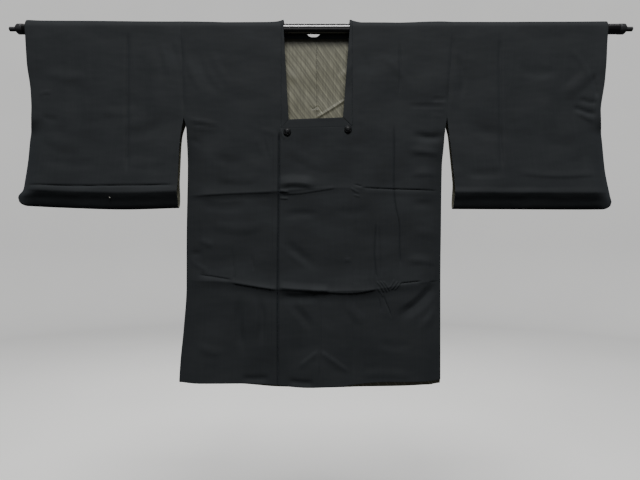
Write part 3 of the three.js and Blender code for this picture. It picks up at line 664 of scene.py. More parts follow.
class Finish:
    """A material with one principled shader, and short ways to add its nodes."""

    def __init__(self, name, **sockets):
        self.material = bpy.data.materials.new(name)
        self.material.use_nodes = True
        self.nodes = self.material.node_tree.nodes
        self.links = self.material.node_tree.links
        self.shader = self.nodes["Principled BSDF"]
        for socket, value in sockets.items():
            self.shader.inputs[socket.replace("_", " ")].default_value = value

    def feed(self, socket, value):
        """Links another node's output to a socket, or sets its value."""
        if isinstance(value, bpy.types.NodeSocket):
            self.links.new(value, socket)
        else:
            socket.default_value = value

    def add(self, kind, settings=None, **inputs):
        node = self.nodes.new(kind)
        for key, value in (settings or {}).items():
            setattr(node, key, value)
        for key, value in inputs.items():
            self.feed(node.inputs[key.replace("_", " ")], value)
        return node

    def math(self, operation, *values):
        node = self.nodes.new("ShaderNodeMath")
        node.operation = operation
        for socket, value in zip(node.inputs, values):
            self.feed(socket, value)
        return node.outputs[0]

    def scaled(self, value, factor, plus):
        return self.math("ADD", self.math("MULTIPLY", value, factor), plus)

    def weighed(self, one, share, two, other_share):
        return self.math("ADD", self.math("MULTIPLY", one, share), self.math("MULTIPLY", two, other_share))

    def blended(self, share, colour, other):
        """A colour that gives way to another, plain one by share."""
        node = self.add("ShaderNodeMix", {"data_type": "RGBA"})
        for at, value in ((0, share), (6, colour), (7, (*other, 1))):
            self.feed(node.inputs[at], value)
        return node.outputs[2]

    def on_cut(self):
        """Places on the cut cloth, in metres, or round and along a turned piece."""
        return self.add("ShaderNodeUVMap", {"uv_map": "cut"}).outputs[0]

    def on_object(self):
        return self.add("ShaderNodeTexCoord").outputs["Object"]

    def wave(self, place, direction, scale, distortion=0.0):
        return self.add(
            "ShaderNodeTexWave", {"bands_direction": direction, "wave_profile": "SIN"},
            Vector=place, Scale=scale, Distortion=distortion,
        ).outputs["Fac"]

    def noise(self, place, scale, detail=2.0, roughness=0.5):
        return self.add(
            "ShaderNodeTexNoise", Vector=place, Scale=scale, Detail=detail, Roughness=roughness
        ).outputs["Fac"]

    def stretched(self, place, x, y, z=1.0, turn=0.0):
        return self.add("ShaderNodeMapping", Vector=place, Scale=(x, y, z), Rotation=(0, 0, turn)).outputs[0]

    def ramp(self, factor, *stops):
        node = self.add("ShaderNodeValToRGB", Fac=factor)
        elements = node.color_ramp.elements
        while len(elements) < len(stops):
            elements.new(0.5)
        for element, (position, colour) in zip(elements, stops):
            element.position = position
            element.color = (*colour, 1)
        return node.outputs["Color"]

    def bump(self, height, distance, strength=1.0, after=None):
        inputs = {"Height": height, "Distance": distance, "Strength": strength}
        if after is not None:
            inputs["Normal"] = after
        return self.add("ShaderNodeBump", **inputs).outputs[0]

    def to(self, socket, output):
        self.links.new(output, self.shader.inputs[socket])


def shade(colour, factor):
    return tuple(c * factor for c in colour)


def silk_finish(colours):
    """Fine matt silk: a plain weave, soft lengthwise streaks and a little sheen."""
    silk = Finish("black_silk", Roughness=0.7, Sheen_Weight=0.07, Sheen_Roughness=0.5, Specular_IOR_Level=0.1)
    silk.shader.inputs["Sheen Tint"].default_value = (0.78, 0.88, 1.0, 1)
    cut = silk.on_cut()
    streaks = silk.noise(silk.stretched(cut, 420, 9), 1.0, 3)
    ribs = silk.noise(silk.stretched(cut, 10, 520), 1.0, 2)
    clouds = silk.noise(cut, 9, 3, 0.55)
    base = tuple(colours.silk)
    tone = silk.weighed(streaks, 0.35, clouds, 0.65)
    silk.to("Base Color", silk.ramp(tone, (0.3, shade(base, 0.86)), (0.7, shade(base, 1.14))))
    silk.to("Roughness", silk.scaled(streaks, 0.12, 0.62))
    warp = silk.wave(cut, "X", 240, 0.4)
    weft = silk.wave(cut, "Y", 210, 0.4)
    weave = silk.bump(silk.math("MULTIPLY", warp, weft), 0.00006, 0.5)
    slubs = silk.bump(ribs, 0.00012, 0.35, weave)
    crumple = silk.bump(silk.noise(cut, 34, 3, 0.6), 0.0012, 0.2, slubs)
    soft = silk.bump(silk.noise(silk.stretched(cut, 9, 21), 1.0, 2, 0.45), 0.005, 0.5, crumple)
    silk.to("Normal", soft)
    return silk.material


STRIPE_SLANT = math.radians(36)
SEAM_STITCHES = 0.0018  # half the width, in metres, in which the middle seam's stitches show
BAND_SHADE = (-0.046, -0.02)  # between these heights, in metres, the lining's colour darkens towards the neck band: a painted shadow of the rod and band


def lining_finish(colours):
    """Thin olive silk with woven slanted stripes, some broad and some broken, and a painted shadow under the neck
    band.
    """
    lining = Finish("striped_lining", Roughness=0.5, Sheen_Weight=0.15, Sheen_Roughness=0.4, Specular_IOR_Level=0.4)
    cut = lining.on_cut()
    base = tuple(colours.lining)
    slanted = lining.stretched(cut, 1, 1, 1, STRIPE_SLANT)
    across = lining.add("ShaderNodeSeparateXYZ", Vector=slanted).outputs
    wander = lining.math("MULTIPLY", lining.math("SUBTRACT", lining.noise(cut, 14, 2), 0.5), 0.006)
    run = lining.math("ADD", across[0], wander)

    def stripe(pitch, share, shift):
        turns = lining.math("FRACT", lining.math("ADD", lining.math("DIVIDE", run, pitch), shift))
        from_middle = lining.math("ABSOLUTE", lining.math("SUBTRACT", turns, 0.5))
        return lining.math("GREATER_THAN", share / 2, from_middle)

    broad = stripe(0.0157, 0.24, 0.0)
    thin = stripe(0.0052, 0.3, 0.35)
    broken = lining.math("MULTIPLY", lining.noise(lining.stretched(slanted, 150, 26), 1.0, 1), 1.5)
    patchy = lining.math("MULTIPLY", lining.noise(cut, 22, 2), 1.3)
    thin = lining.math("MULTIPLY", thin, broken)
    lines = lining.weighed(broad, 0.5, thin, 0.5)
    lines = lining.math("MULTIPLY", lines, patchy)
    streaks = lining.noise(lining.stretched(cut, 300, 12), 1.0, 3)
    tone = lining.weighed(lines, 0.55, streaks, 0.45)
    woven = lining.ramp(tone, (0.15, shade(base, 0.68)), (0.36, shade(base, 1.05)), (0.6, shade(base, 1.75)))
    place = lining.on_object()
    at = lining.add("ShaderNodeSeparateXYZ", Vector=place).outputs
    near = lining.math("SUBTRACT", 1.0, lining.math("DIVIDE", lining.math("ABSOLUTE", at[0]), SEAM_STITCHES))
    stitched = lining.math("MULTIPLY", lining.math("MAXIMUM", near, 0.0), lining.noise(place, 330, 1))
    seamed = lining.blended(stitched, woven, shade(base, 0.3))
    # Painted shadow: the lining's colour darkens towards the neck band, where the rod and band shade it.
    painted_band_shadow = lining.add(
        "ShaderNodeMapRange", {"interpolation_type": "SMOOTHSTEP"},
        Value=at[2], From_Min=BAND_SHADE[0], From_Max=BAND_SHADE[1], To_Min=0.0, To_Max=0.82,
    ).outputs[0]
    lining.to("Base Color", lining.blended(painted_band_shadow, seamed, shade(base, 0.16)))
    lining.to("Roughness", lining.math("SUBTRACT", 0.56, lining.math("MULTIPLY", lines, 0.16)))
    raised = lining.bump(lines, 0.00012, 0.5)
    lining.to("Normal", lining.bump(lining.noise(cut, 60, 3, 0.6), 0.0008, 0.25, raised))
    return lining.material


def knob_finish(colours):
    """Glossy wound cord: rings round the knob, with the turns' own twist."""
    knob = Finish("wound_cord", Roughness=0.45, Specular_IOR_Level=0.28, Coat_Weight=0.06, Coat_Roughness=0.3)
    cut = knob.on_cut()
    base = tuple(colours.knob)
    turns = knob.wave(cut, "Y", 6.0, 0.6)
    twist = knob.wave(knob.stretched(cut, 14, 3), "DIAGONAL", 1.0, 0.3)
    mottle = knob.noise(cut, 24, 3)
    tone = knob.weighed(turns, 0.4, mottle, 0.6)
    knob.to("Base Color", knob.ramp(tone, (0.25, shade(base, 0.7)), (0.8, shade(base, 1.4))))
    knob.to("Roughness", knob.scaled(mottle, 0.16, 0.36))
    knob.to("Normal", knob.bump(twist, 0.00008, 0.2, knob.bump(turns, 0.0003, 0.4)))
    return knob.material


def rod_finish(colours, name="gloss_black_tube", rough=0.24, paler=1.0):
    """Gloss black enamel with a faint orange peel, dust and rub marks."""
    enamel = Finish(name, Specular_IOR_Level=0.5, Coat_Weight=1.0, Coat_Roughness=0.12)
    place = enamel.on_object()
    base = shade(colours.rod, paler)
    dust = enamel.noise(enamel.stretched(place, 30, 180, 180), 1.0, 4, 0.6)
    rubs = enamel.noise(enamel.stretched(place, 6, 700, 700), 1.0, 2)
    enamel.to("Base Color", enamel.ramp(dust, (0.35, base), (0.8, shade(base, 2.0))))
    enamel.to("Roughness", enamel.scaled(enamel.math("ADD", dust, rubs), 0.12, rough - 0.1))
    enamel.to("Normal", enamel.bump(enamel.noise(place, 420, 2), 0.00005, 0.25))
    return enamel.material


def wall_finish(colours):
    """Matt painted plaster with a faint glow of its own, so that it stays pale all round."""
    wall = Finish("pale_plaster", Specular_IOR_Level=0.2, Emission_Color=(1, 1, 1, 1), Emission_Strength=0.4)
    place = wall.on_object()
    base = tuple(colours.wall)
    clouds = wall.noise(place, 1.6, 3)
    wall.to("Base Color", wall.ramp(clouds, (0.3, shade(base, 0.97)), (0.7, shade(base, 1.03))))
    wall.to("Roughness", wall.scaled(clouds, 0.1, 0.82))
    wall.to("Normal", wall.bump(wall.noise(place, 260, 4, 0.6), 0.0006, 0.3))
    return wall.material


def shared_finish(name, make):
    """A finish that several pieces wear, made once, by the first of them."""
    return bpy.data.materials.get(name) or make(bpy.context.scene.coat_colours)


def silk():
    return shared_finish("black_silk", silk_finish)


def lining():
    return shared_finish("striped_lining", lining_finish)


# ---- The coat's panels ----

# Bands of (low, high, step) where the grid is closer, because creases are sharp there.
FINE_FRONT = ((-388, -340, 1.5), (-604, -544, 1.4), (-642, -604, 2.4))
FINE_BACK = ((-385, -350, 2.8), (-600, -555, 2.8))
FINE_ACROSS = {"right": ((0, 11.5, 0.6), (15, 25, 1.4)), "left": ((46, 112, 1.3),)}
OUTER_ACROSS = (1.8, ((0, 6, 0.7),))
UNDER_ACROSS = (3.2, ())
BACK_FROM = -21.5  # where the back goes straight down from its neckline
OVER_ROD = np.linspace(0, math.pi, 17)[1:-1]  # angles round the rod, from the front to the back
# Heights down the back's neckline, closer where it turns its corner.
NECK_TURN = [0, -3, -6, -9, -11.5, -13.5, -15.2, -16.4, -17.3, -18, -18.35, WRAP - BACK_NECK_DROP]


def body_sheet(side, t=None, down_back=None):
    """One panel: up the front, over the rod and down the back. Columns run towards +X."""
    if t is None:
        wide = side.armhole - NECK_SEAM
        t = spaced(0, wide, 2.7, (*FINE_ACROSS[side.name], (wide - 20, wide, 1.8))) / wide
        down_back = spaced(BACK_FROM, HEM_LEVEL, 7, FINE_BACK)
    front = spaced(0, HEM_LEVEL, 5, FINE_FRONT)[::-1]
    back = np.concatenate([NECK_TURN, down_back])
    rows = []
    for levels, facing, hem in ((front, -1, FRONT_HEM), (back, 1, BACK_HEM)):
        level = np.repeat(levels[:, None], len(t), axis=1)
        inner = np.full_like(level, NECK_SEAM) if facing < 0 else neck_seam_at(level)
        x = side.sign * mix(inner, body_out(side, level), t)
        z = to_hem(level, hem(x))
        x = side.sign * mix(inner, body_out(side, z), t)
        depth = back_depth(x, z)
        if facing < 0:
            depth = front_depth(x, z) + (creases(x, z, OVERLAP_TUCK) if side.sign < 0 else 0)
        closed = ease((ARMHOLE_END - z) / (ARMHOLE_END - SIDE_SEAM_TOP))
        from_edge = np.maximum(0, body_out(side, z) - np.abs(x))
        y = facing * pinch(depth, from_edge, SIDE_PINCH, closed)
        rows.append(np.stack([x, y, z], axis=2))
        if facing < 0:
            angle = np.repeat(OVER_ROD[:, None], len(t), axis=1)
            z = WRAP * np.sin(angle)
            inner = np.where(angle <= math.pi / 2, NECK_SEAM, neck_seam_at(z))
            x = side.sign * mix(inner, body_out(side, z), t)
            z = z + TOP_RISE(x) * np.sin(angle) ** 2
            rows.append(np.stack([x, -WRAP * np.cos(angle), z], axis=2))
    place = np.concatenate(rows)
    return place[:, ::-1] if side.sign < 0 else place


def moved(place, distance):
    """The sheet moved along its own normals."""
    along = np.gradient(place, axis=0)
    across = np.gradient(place, axis=1)
    normal = np.cross(across, along)
    return place + distance * normal / np.linalg.norm(normal, axis=2, keepdims=True)


def overlap_sheet(outer):
    """A front overlap, from the neck band to the hem."""
    levels = np.concatenate([[OVERLAP_TOP], spaced(OVERLAP_TOP - 2, HEM_LEVEL, 4.2, FINE_FRONT)])
    first, last = (OVERLAP_EDGE, NECK_SEAM - STITCHED) if outer else (SEAM - NECK_SEAM, UNDER_EDGE)
    t = spaced(0, last - first, *(OUTER_ACROSS if outer else UNDER_ACROSS)) / (last - first)
    level = np.repeat(levels[:, None], len(t), axis=1)
    x = mix(first, last, t) - (OVERLAP_SWAY if outer else 0) * ease((-300 - level) / 300) * (1 - t)
    hem = FRONT_HEM(x) + (0 if outer else UNDER_SHORT)
    top = band_foot(x) - (STITCHED if outer else SEAM)
    z = to_hem(level, hem)
    blend = ease((level - (ARMHOLE_END - 60)) / 36)
    z = mix(z, top + (level - levels[0]), blend)
    damp = 0.0 if outer else UNDER_DAMP
    lift = overlap_lift(x) - (0 if outer else OVERLAP + UNDER_SINK * ease((-300 - level) / 120))
    if outer:
        turn = EDGE_TURN * ease((EDGE_TURN_TOP - z) / EDGE_TURN_START)
        lift = lift - turn * (1 - np.clip((x - x[:, :1]) / EDGE_TURN_REACH, 0, 1)) ** 2
    return np.stack([x, -front_depth(x, z, damp) - lift, z], axis=2)[::-1]


def sleeve_foot(side, out):
    """The height of the sleeve's foot, which turns up at the cuff's corner."""
    across, up = 20.0, 16.0
    corner = np.maximum(0, out - (side.cuff(SLEEVE_BOTTOM) - across)) / across
    return SLEEVE_BOTTOM + side.hang(out) + up * (1 - np.sqrt(np.maximum(0, 1 - np.minimum(1, corner) ** 2)))


# The sleeve's section from the seam at its foot up to the plain front or back: y from the rod's axis, and z
# above the sleeve's lowest line.
ROLL_FRONT = ((-0.15, 1), (-3.6, 1.4), (-7.2, 5), (-15.6, 20), (-23.4, 33), (-25, 36.6), (-24.2, 41), (-22.8, 48))
ROLL_BACK = ((0.15, 1), (3.8, 1.6), (7, 6), (10, 24), (11.6, 48))
SLEEVE_FRONT = (
    (-21.3, -326), (-19.1, -296), (-17.1, -262), (-15.7, -232), (-14.8, -206), (-13.9, -170), (-13.2, -125),
    (-12.8, -80), (-12.6, -35), (-WRAP, 0),
)


BACK_LEVELS = (0, -50, -110, -170, -208, -230, -256, -300)
BACK_DRAW = 1.2  # how much nearer to the front the sleeve's back hangs at its lowest level


def hang_depth(z):
    """How far from the rod's axis a sleeve's back hangs."""
    return WRAP - BACK_DRAW * ease((-100 - z) / 220)


def section(points, spacing):
    """A smooth line through (y, z) points, resampled at even spacing."""
    pts = np.array(points, float)
    length = np.concatenate([[0], np.cumsum(np.hypot(*np.diff(pts, axis=0).T))])
    at = np.linspace(0, length[-1], int(length[-1] / spacing) + 1)
    y = Curve(*zip(length, pts[:, 0]))(at)
    z = Curve(*zip(length, pts[:, 1]))(at)
    return np.stack([y, z], axis=1)


def sleeve_sheet(side):
    """One sleeve, from the seam at its foot up the front, over the rod and down the back."""
    wide = side.cuff(-100) - side.armhole
    t = spaced(0, wide, 3.8, ((112, 128, 1.4), (wide - 44, wide, 2.4))) / wide
    front = [*((y, SLEEVE_BOTTOM + z) for y, z in ROLL_FRONT), *SLEEVE_FRONT]
    back = [(hang_depth(z), z) for z in BACK_LEVELS]
    back += [(y, SLEEVE_BOTTOM + z) for y, z in reversed(ROLL_BACK)]
    low = section(front[:9], 1.9)
    high = section(front[8:], 4.4)[1:]
    down = section(back, 4.6)
    over = np.stack([-WRAP * np.cos(OVER_ROD), WRAP * np.sin(OVER_ROD)], axis=1)
    line = np.concatenate([low, high, over, down])
    y = np.repeat(line[:, :1], len(t), axis=1)
    z = np.repeat(line[:, 1:], len(t), axis=1)
    out = mix(sleeve_in(side, z), side.cuff(z), t)
    foot = sleeve_foot(side, mix(side.sleeve_in(SLEEVE_BOTTOM), side.cuff(SLEEVE_BOTTOM), t))
    z = z + (foot - SLEEVE_BOTTOM) * ease((-250 - z) / 90)
    out = mix(sleeve_in(side, z), side.cuff(z), t)
    facing = np.sign(y)
    trim = BACK_TRIM * ease((ARMHOLE_END - z) / 40) * ease((z - SLEEVE_BOTTOM) / 60) * (1 - t) ** 8
    out = out + np.where(facing > 0, trim, 0)
    x = side.sign * out
    hanging = z < 0
    marks = np.where(
        y < 0,
        creases(x, z, SLEEVE_CREASES[side.name, "front"]),
        creases(x, z, SLEEVE_CREASES[side.name, "back"]),
    ) + swells(x + 20 * facing, z, 0.8)
    plain = ease((z - (SLEEVE_BOTTOM + 20)) / 30)
    depth = np.abs(y) + np.where(hanging, marks * plain, 0)
    closed = ease((CUFF_END - z) / CUFF_CLOSES)
    pinched = pinch(depth, np.maximum(0, side.cuff(z) - out), CUFF_PINCH, closed)
    y = np.where(hanging, facing * np.minimum(pinched, depth), y)
    z = z + TOP_RISE(x) * (np.maximum(z, 0) / WRAP) ** 2
    place = np.stack([x, y, z], axis=2)
    return place[:, ::-1] if side.sign < 0 else place


def lining_sheet(side):
    """Half of the back's lining: it follows the panel, a little inside it."""
    wide = side.armhole
    t = spaced(0, wide - LINING_SHORT, 3.4, ((0, 66 if side.sign > 0 else 16, 1.3),)) / wide
    down = np.concatenate([spaced(BACK_FROM, -150, 3.6), spaced(-151.4, -200, 1.4)[:-1], spaced(-201, HEM_LEVEL, 9)])
    place = moved(body_sheet(side, t, down), -LINING_IN)
    place = place[len(place) - len(down) - 1 :]
    place[:, :, 1] -= np.maximum(creases(place[:, :, 0], place[:, :, 2], LINING_CREASES), LINING_LIMIT)
    return place


# ---- The neck band ----


def band_rows(side):
    """The band's seam edge and free edge, from the front's lower corner over the shoulder to mid-back."""
    sign = side.sign
    foot = float(band_foot(sign * NECK_SEAM))
    levels = np.concatenate([[foot], spaced(0, foot + 1, 4.0)[::-1][1:]])
    seam_x = np.full(len(levels), sign * (NECK_SEAM - SEAM))
    down = levels / foot
    edge_x = sign * mix(NECK_SHOULDER, abs(side.neck_foot[0]), down)
    edge_z = down * side.neck_foot[1]
    seam = np.stack([seam_x, -front_depth(seam_x, levels), levels], axis=1)
    edge = np.stack([edge_x, -front_depth(edge_x, edge_z), edge_z], axis=1)
    angle = np.linspace(0, math.pi / 2, 9)[1:]

    def raised(x, rise):
        r = WRAP + rise * np.sin(angle) ** 2
        return np.stack([np.full(len(angle), sign * x), -r * np.cos(angle), r * np.sin(angle)], axis=1)

    down = np.linspace(0, 0.9, 14)[1:]
    across = np.linspace(float(squared(down[-1])), 0, 44)[1:]
    down = np.concatenate([down, (1 - across**NECK_SQUARENESS) ** (1 / NECK_SQUARENESS)])
    across = np.concatenate([squared(down[:13]), across])

    def on_back(half, drop, peak, dip=0.0):
        """Down from the shoulder and along to mid-back."""
        r = WRAP + peak * (1 - down) ** 2
        x = sign * half * across
        z = r - drop * down - dip * np.exp(-((x - DIP_AT) / DIP_HALF) ** 4)
        y = np.where(z > 0, np.sqrt(np.maximum(0, r * r - z * z)), plain_back(z))
        return np.stack([x, y, z], axis=1)

    half = NECK_SEAM - SEAM
    seam_peak = float(TOP_RISE(sign * half))
    seam = np.concatenate([seam, raised(half, seam_peak), on_back(half, BACK_NECK_DROP - SEAM, seam_peak)])
    free = on_back(NECK_SHOULDER, BACK_NECK_EDGE, PEAK, NECK_DIP)
    edge = np.concatenate([edge, raised(NECK_SHOULDER, PEAK), free])
    return seam, edge


def neck_band_sheet():
    seam_r, edge_r = band_rows(RIGHT)
    seam_l, edge_l = band_rows(LEFT)
    seam = np.concatenate([seam_r[:-1], seam_l[::-1]])
    edge = np.concatenate([edge_r[:-1], edge_l[::-1]])
    t = np.linspace(0, 1, 8)[None, :, None]
    return mix(seam[:, None, :], edge[:, None, :], t)


def cross_band_sheet(outer):
    """The band across the front, its ends cut on the slant to meet the upright bands."""
    gap = 2 * SEAM
    short = gap if outer else NECK_SEAM - UNDER_EDGE
    across = np.linspace(0, 1, 60)[None, :]
    down = np.linspace(0, 1, 9)[:, None]
    top = mix(RIGHT.neck_foot[0] + gap, LEFT.neck_foot[0] - short, across)
    bottom = mix(gap - NECK_SEAM, NECK_SEAM - short, across)
    x = mix(top, bottom, down)
    share = (x - RIGHT.neck_foot[0]) / (LEFT.neck_foot[0] - RIGHT.neck_foot[0])
    z = mix(mix(RIGHT.neck_foot[1], LEFT.neck_foot[1], share), band_foot(x), down)
    y = -front_depth(x, z) - overlap_lift(x) + (BAND_SINK if outer else OVERLAP)
    return np.stack([x, y, z], axis=2)[::-1]


# ---- Sizes and colours that a user would change ----


class CoatSizes(bpy.types.PropertyGroup):
    cloth: bpy.props.FloatProperty(
        name="Cloth", description="Thickness of the silk with its lining",
        default=CLOTH * MM, unit="LENGTH", precision=4,
    )
    lining: bpy.props.FloatProperty(
        name="Lining", description="Thickness of the back's lining",
        default=LINING * MM, unit="LENGTH", precision=4,
    )
    band: bpy.props.FloatProperty(
        name="Neck band", description="Thickness of the doubled neck band",
        default=BAND * MM, unit="LENGTH", precision=4,
    )
    knob_radius: bpy.props.FloatProperty(
        name="Knob radius", description="Half the width of a covered button",
        default=KNOB_RADIUS * MM, unit="LENGTH", precision=4,
    )
    rod_radius: bpy.props.FloatProperty(
        name="Rod radius", description="Half the width of the hanging rod",
        default=ROD_RADIUS * MM, unit="LENGTH", precision=4,
    )


class CoatColours(bpy.types.PropertyGroup):
    silk: bpy.props.FloatVectorProperty(
        name="Silk", description="Colour of the outer cloth",
        default=(0.0274, 0.0302, 0.0326), subtype="COLOR", min=0, max=1,
    )
    lining: bpy.props.FloatVectorProperty(
        name="Lining", description="Colour of the lining's ground",
        default=(0.169, 0.165, 0.118), subtype="COLOR", min=0, max=1,
    )
    knob: bpy.props.FloatVectorProperty(
        name="Knob", description="Colour of the covered buttons",
        default=(0.006, 0.0068, 0.008), subtype="COLOR", min=0, max=1,
    )
    rod: bpy.props.FloatVectorProperty(
        name="Rod", description="Colour of the rod's enamel",
        default=(0.006, 0.006, 0.0065), subtype="COLOR", min=0, max=1,
    )
    wall: bpy.props.FloatVectorProperty(
        name="Backdrop", description="Colour of the floor and wall",
        default=(0.72, 0.715, 0.69), subtype="COLOR", min=0, max=1,
    )


# ---- One operator for each piece or group of like pieces ----


def add_cloth(name, place, node, thickness, lined=False, slot="silk", edge=0.35):
    mesh = sheet_mesh(name, place, flat_size(place))
    materials = (silk(), lining()) if slot == "silk" else (lining(),)
    piece = add_piece(name, mesh, slot, node, *materials)
    return add_wall(piece, thickness / MM, lined, edge)


class COAT_OT_body(bpy.types.Operator):
    """Adds both body panels, each one length of cloth over the shoulder"""

    bl_idname = "coat.body"
    bl_label = "Body Panels"

    def execute(self, context):
        sizes = context.scene.coat_sizes
        for side in SIDES:
            node = f"body_{side.name}"
            panel = add_cloth(f"{node}_cloth", body_sheet(side), node, sizes.cloth, lined=True)
        return {"FINISHED"}


class COAT_OT_overlaps(bpy.types.Operator):
    """Adds the outer and the under front overlap"""

    bl_idname = "coat.overlaps"
    bl_label = "Front Overlaps"

    def execute(self, context):
        sizes = context.scene.coat_sizes
        for name, outer, side in (("outer", True, "left"), ("under", False, "right")):
            place = overlap_sheet(outer)
            cloth = add_cloth(f"overlap_{name}_cloth", place, f"overlap_{side}", sizes.cloth, lined=True)
        return {"FINISHED"}


class COAT_OT_sleeves(bpy.types.Operator):
    """Adds both sleeves, each one length of cloth with a rolled foot"""

    bl_idname = "coat.sleeves"
    bl_label = "Sleeves"

    def execute(self, context):
        sizes = context.scene.coat_sizes
        for side in SIDES:
            node = f"sleeve_{side.name}"
            sleeve = add_cloth(f"{node}_cloth", sleeve_sheet(side), node, sizes.cloth, lined=True)
        return {"FINISHED"}


class COAT_OT_lining(bpy.types.Operator):
    """Adds the two halves of the back's lining"""

    bl_idname = "coat.lining"
    bl_label = "Back Lining"

    def execute(self, context):
        sizes = context.scene.coat_sizes
        for side in SIDES:
            half = add_cloth(
                f"lining_{side.name}_silk", lining_sheet(side), f"lining_back_{side.name}", sizes.lining,
                slot="lining", edge=0.3,
            )
        return {"FINISHED"}


class COAT_OT_neck_band(bpy.types.Operator):
    """Adds the doubled band round the neck and across both overlaps"""

    bl_idname = "coat.neck_band"
    bl_label = "Neck Band"

    def execute(self, context):
        sizes = context.scene.coat_sizes
        proud = (sizes.band - sizes.cloth) / 2 / MM
        band = add_cloth("neck_band_cloth", moved(neck_band_sheet(), proud), "collar", sizes.band, edge=1.0)
        cross = add_cloth("cross_band_outer", cross_band_sheet(True), "collar_cross_left", sizes.band, edge=0.12)
        under = add_cloth("cross_band_under", cross_band_sheet(False), "collar_cross_right", sizes.cloth)
        return {"FINISHED"}


def spun(name, profile, axis, centre, turns=48):
    """A piece turned on a lathe: profile is (radius, height) rows along the axis, from one pole to the other.

    Its map runs round the axis once, and in centimetres along the profile.
    """
    bm = bmesh.new()
    axis = Vector(axis)
    out = axis.orthogonal().normalized()
    line = [bm.verts.new(Vector(centre) + out * r * MM + axis * h * MM) for r, h in profile]
    edges = [bm.edges.new(pair) for pair in zip(line, line[1:])]
    bmesh.ops.spin(
        bm, geom=line + edges, cent=Vector(centre), axis=axis, dvec=(0, 0, 0), angle=2 * math.pi, steps=turns,
        use_merge=True, use_duplicate=False,
    )
    bmesh.ops.remove_doubles(bm, verts=bm.verts[:], dist=1e-6)
    bmesh.ops.recalc_face_normals(bm, faces=bm.faces[:])
    cut = bm.loops.layers.uv.new("cut")
    side = axis.cross(out)
    for face in bm.faces:
        face.smooth = True
        middle = face.calc_center_median() - Vector(centre)
        facing = math.atan2(middle.dot(side), middle.dot(out))
        for loop in face.loops:
            place = loop.vert.co - Vector(centre)
            height = place.dot(axis)
            radius = (place - axis * height).length
            angle = facing if radius < 1e-6 else math.atan2(place.dot(side), place.dot(out))
            angle += 2 * math.pi * round((facing - angle) / (2 * math.pi))
            loop[cut].uv = (angle / (2 * math.pi), (height + radius) / (10 * MM))
    mesh = bpy.data.meshes.new(name)
    bm.to_mesh(mesh)
    bm.free()
    return mesh


def thread_finish():
    """Pale cotton thread, twisted."""
    thread = Finish("pale_thread", Roughness=0.75, Sheen_Weight=0.2, Specular_IOR_Level=0.3)
    cut = thread.on_cut()
    ply = thread.wave(thread.stretched(cut, 3, 14), "DIAGONAL", 1.0)
    thread.to("Base Color", thread.ramp(ply, (0.2, (0.34, 0.33, 0.3)), (0.8, (0.62, 0.6, 0.55))))
    thread.to("Roughness", thread.scaled(ply, 0.1, 0.7))
    thread.to("Normal", thread.bump(ply, 0.0002, 0.5))
    return thread.material


TACK_CENTRE = (-452.5, -21.0, -376.8)
TACK_END = ((0, 0), (0.4, 0.1), (0.6, 0.4))  # (radius, distance from the stitch's end)
# Each stitch's way and half its length.
TACK_STITCHES = (((0.8, -0.2, -0.56), 1.9), ((0.7, 0.3, 0.6), 1.2))


class COAT_OT_tack(bpy.types.Operator):
    """Adds the pale thread that tacks the wearer's right sleeve at its rolled foot"""

    bl_idname = "coat.tack"
    bl_label = "Sleeve Tack"

    def execute(self, context):
        thread = thread_finish()
        centre = tuple(v * MM for v in TACK_CENTRE)
        for count, (axis, half) in enumerate(TACK_STITCHES, 1):
            profile = [(r, h - half) for r, h in TACK_END] + [(r, half - h) for r, h in reversed(TACK_END)]
            mesh = spun(f"tack_stitch_{count}", profile, Vector(axis).normalized(), centre, 14)
            add_piece(f"tack_stitch_{count}", mesh, None, None, thread)
        return {"FINISHED"}


KNOBS = (("right", -64.4, -232.6), ("left", 68.7, -226.9))  # the side, and the knob's middle as (x, z)
KNOB_OFF = 0.1  # off the cloth
# A knob has a rounded rim round its foot and a lower dome inside it. Widths are shares of its radius.
KNOB_FOOT, DOME = 0.7, 0.72
RIM_ROUND, RIM_FROM = 1.9, 2.0
DOME_FROM, DOME_RISE = 3.4, 2.7


class COAT_OT_knobs(bpy.types.Operator):
    """Adds the two covered buttons that hide the snaps"""

    bl_idname = "coat.knobs"
    bl_label = "Covered Buttons"

    def execute(self, context):
        finish = shared_finish("wound_cord", knob_finish)
        radius = context.scene.coat_sizes.knob_radius / MM
        rim = [
            (radius - RIM_ROUND + RIM_ROUND * math.cos(a), RIM_FROM + RIM_ROUND * math.sin(a))
            for a in np.linspace(-1.2, 2.2, 10)
        ]
        dome = [
            (radius * DOME * math.cos(a), DOME_FROM + DOME_RISE * math.sin(a))
            for a in np.linspace(0, math.pi / 2, 9)[1:-1]
        ]
        profile = [(0, 0), (radius * KNOB_FOOT, 0), *rim, *dome, (0, DOME_FROM + DOME_RISE)]
        for name, x, z in KNOBS:
            under = float(front_depth(np.array([x]), np.array([z]))[0] + overlap_lift(x)) + CLOTH / 2
            centre = (x * MM, -(under + KNOB_OFF) * MM, z * MM)
            mesh = spun(f"knob_{name}", profile, (0, -1, 0), centre)
            add_piece(f"knob_{name}", mesh, "button", f"button_{name}", finish)
        return {"FINISHED"}


TUBE_EDGE = 0.5  # cut off the tube's corners
# A plug with its pin, as (radius, height) rows from the rod's end outwards.
PLUG = (
    (0, 0), (11.0, 0), (11.4, 0.4), (11.4, 12.2), (11.1, 12.9), (7.8, 16.2), (7.2, 16.5),
    (5, 16.5), (5, 17), (5, 31), (4.5, 31.5), (0, 31.5),
)


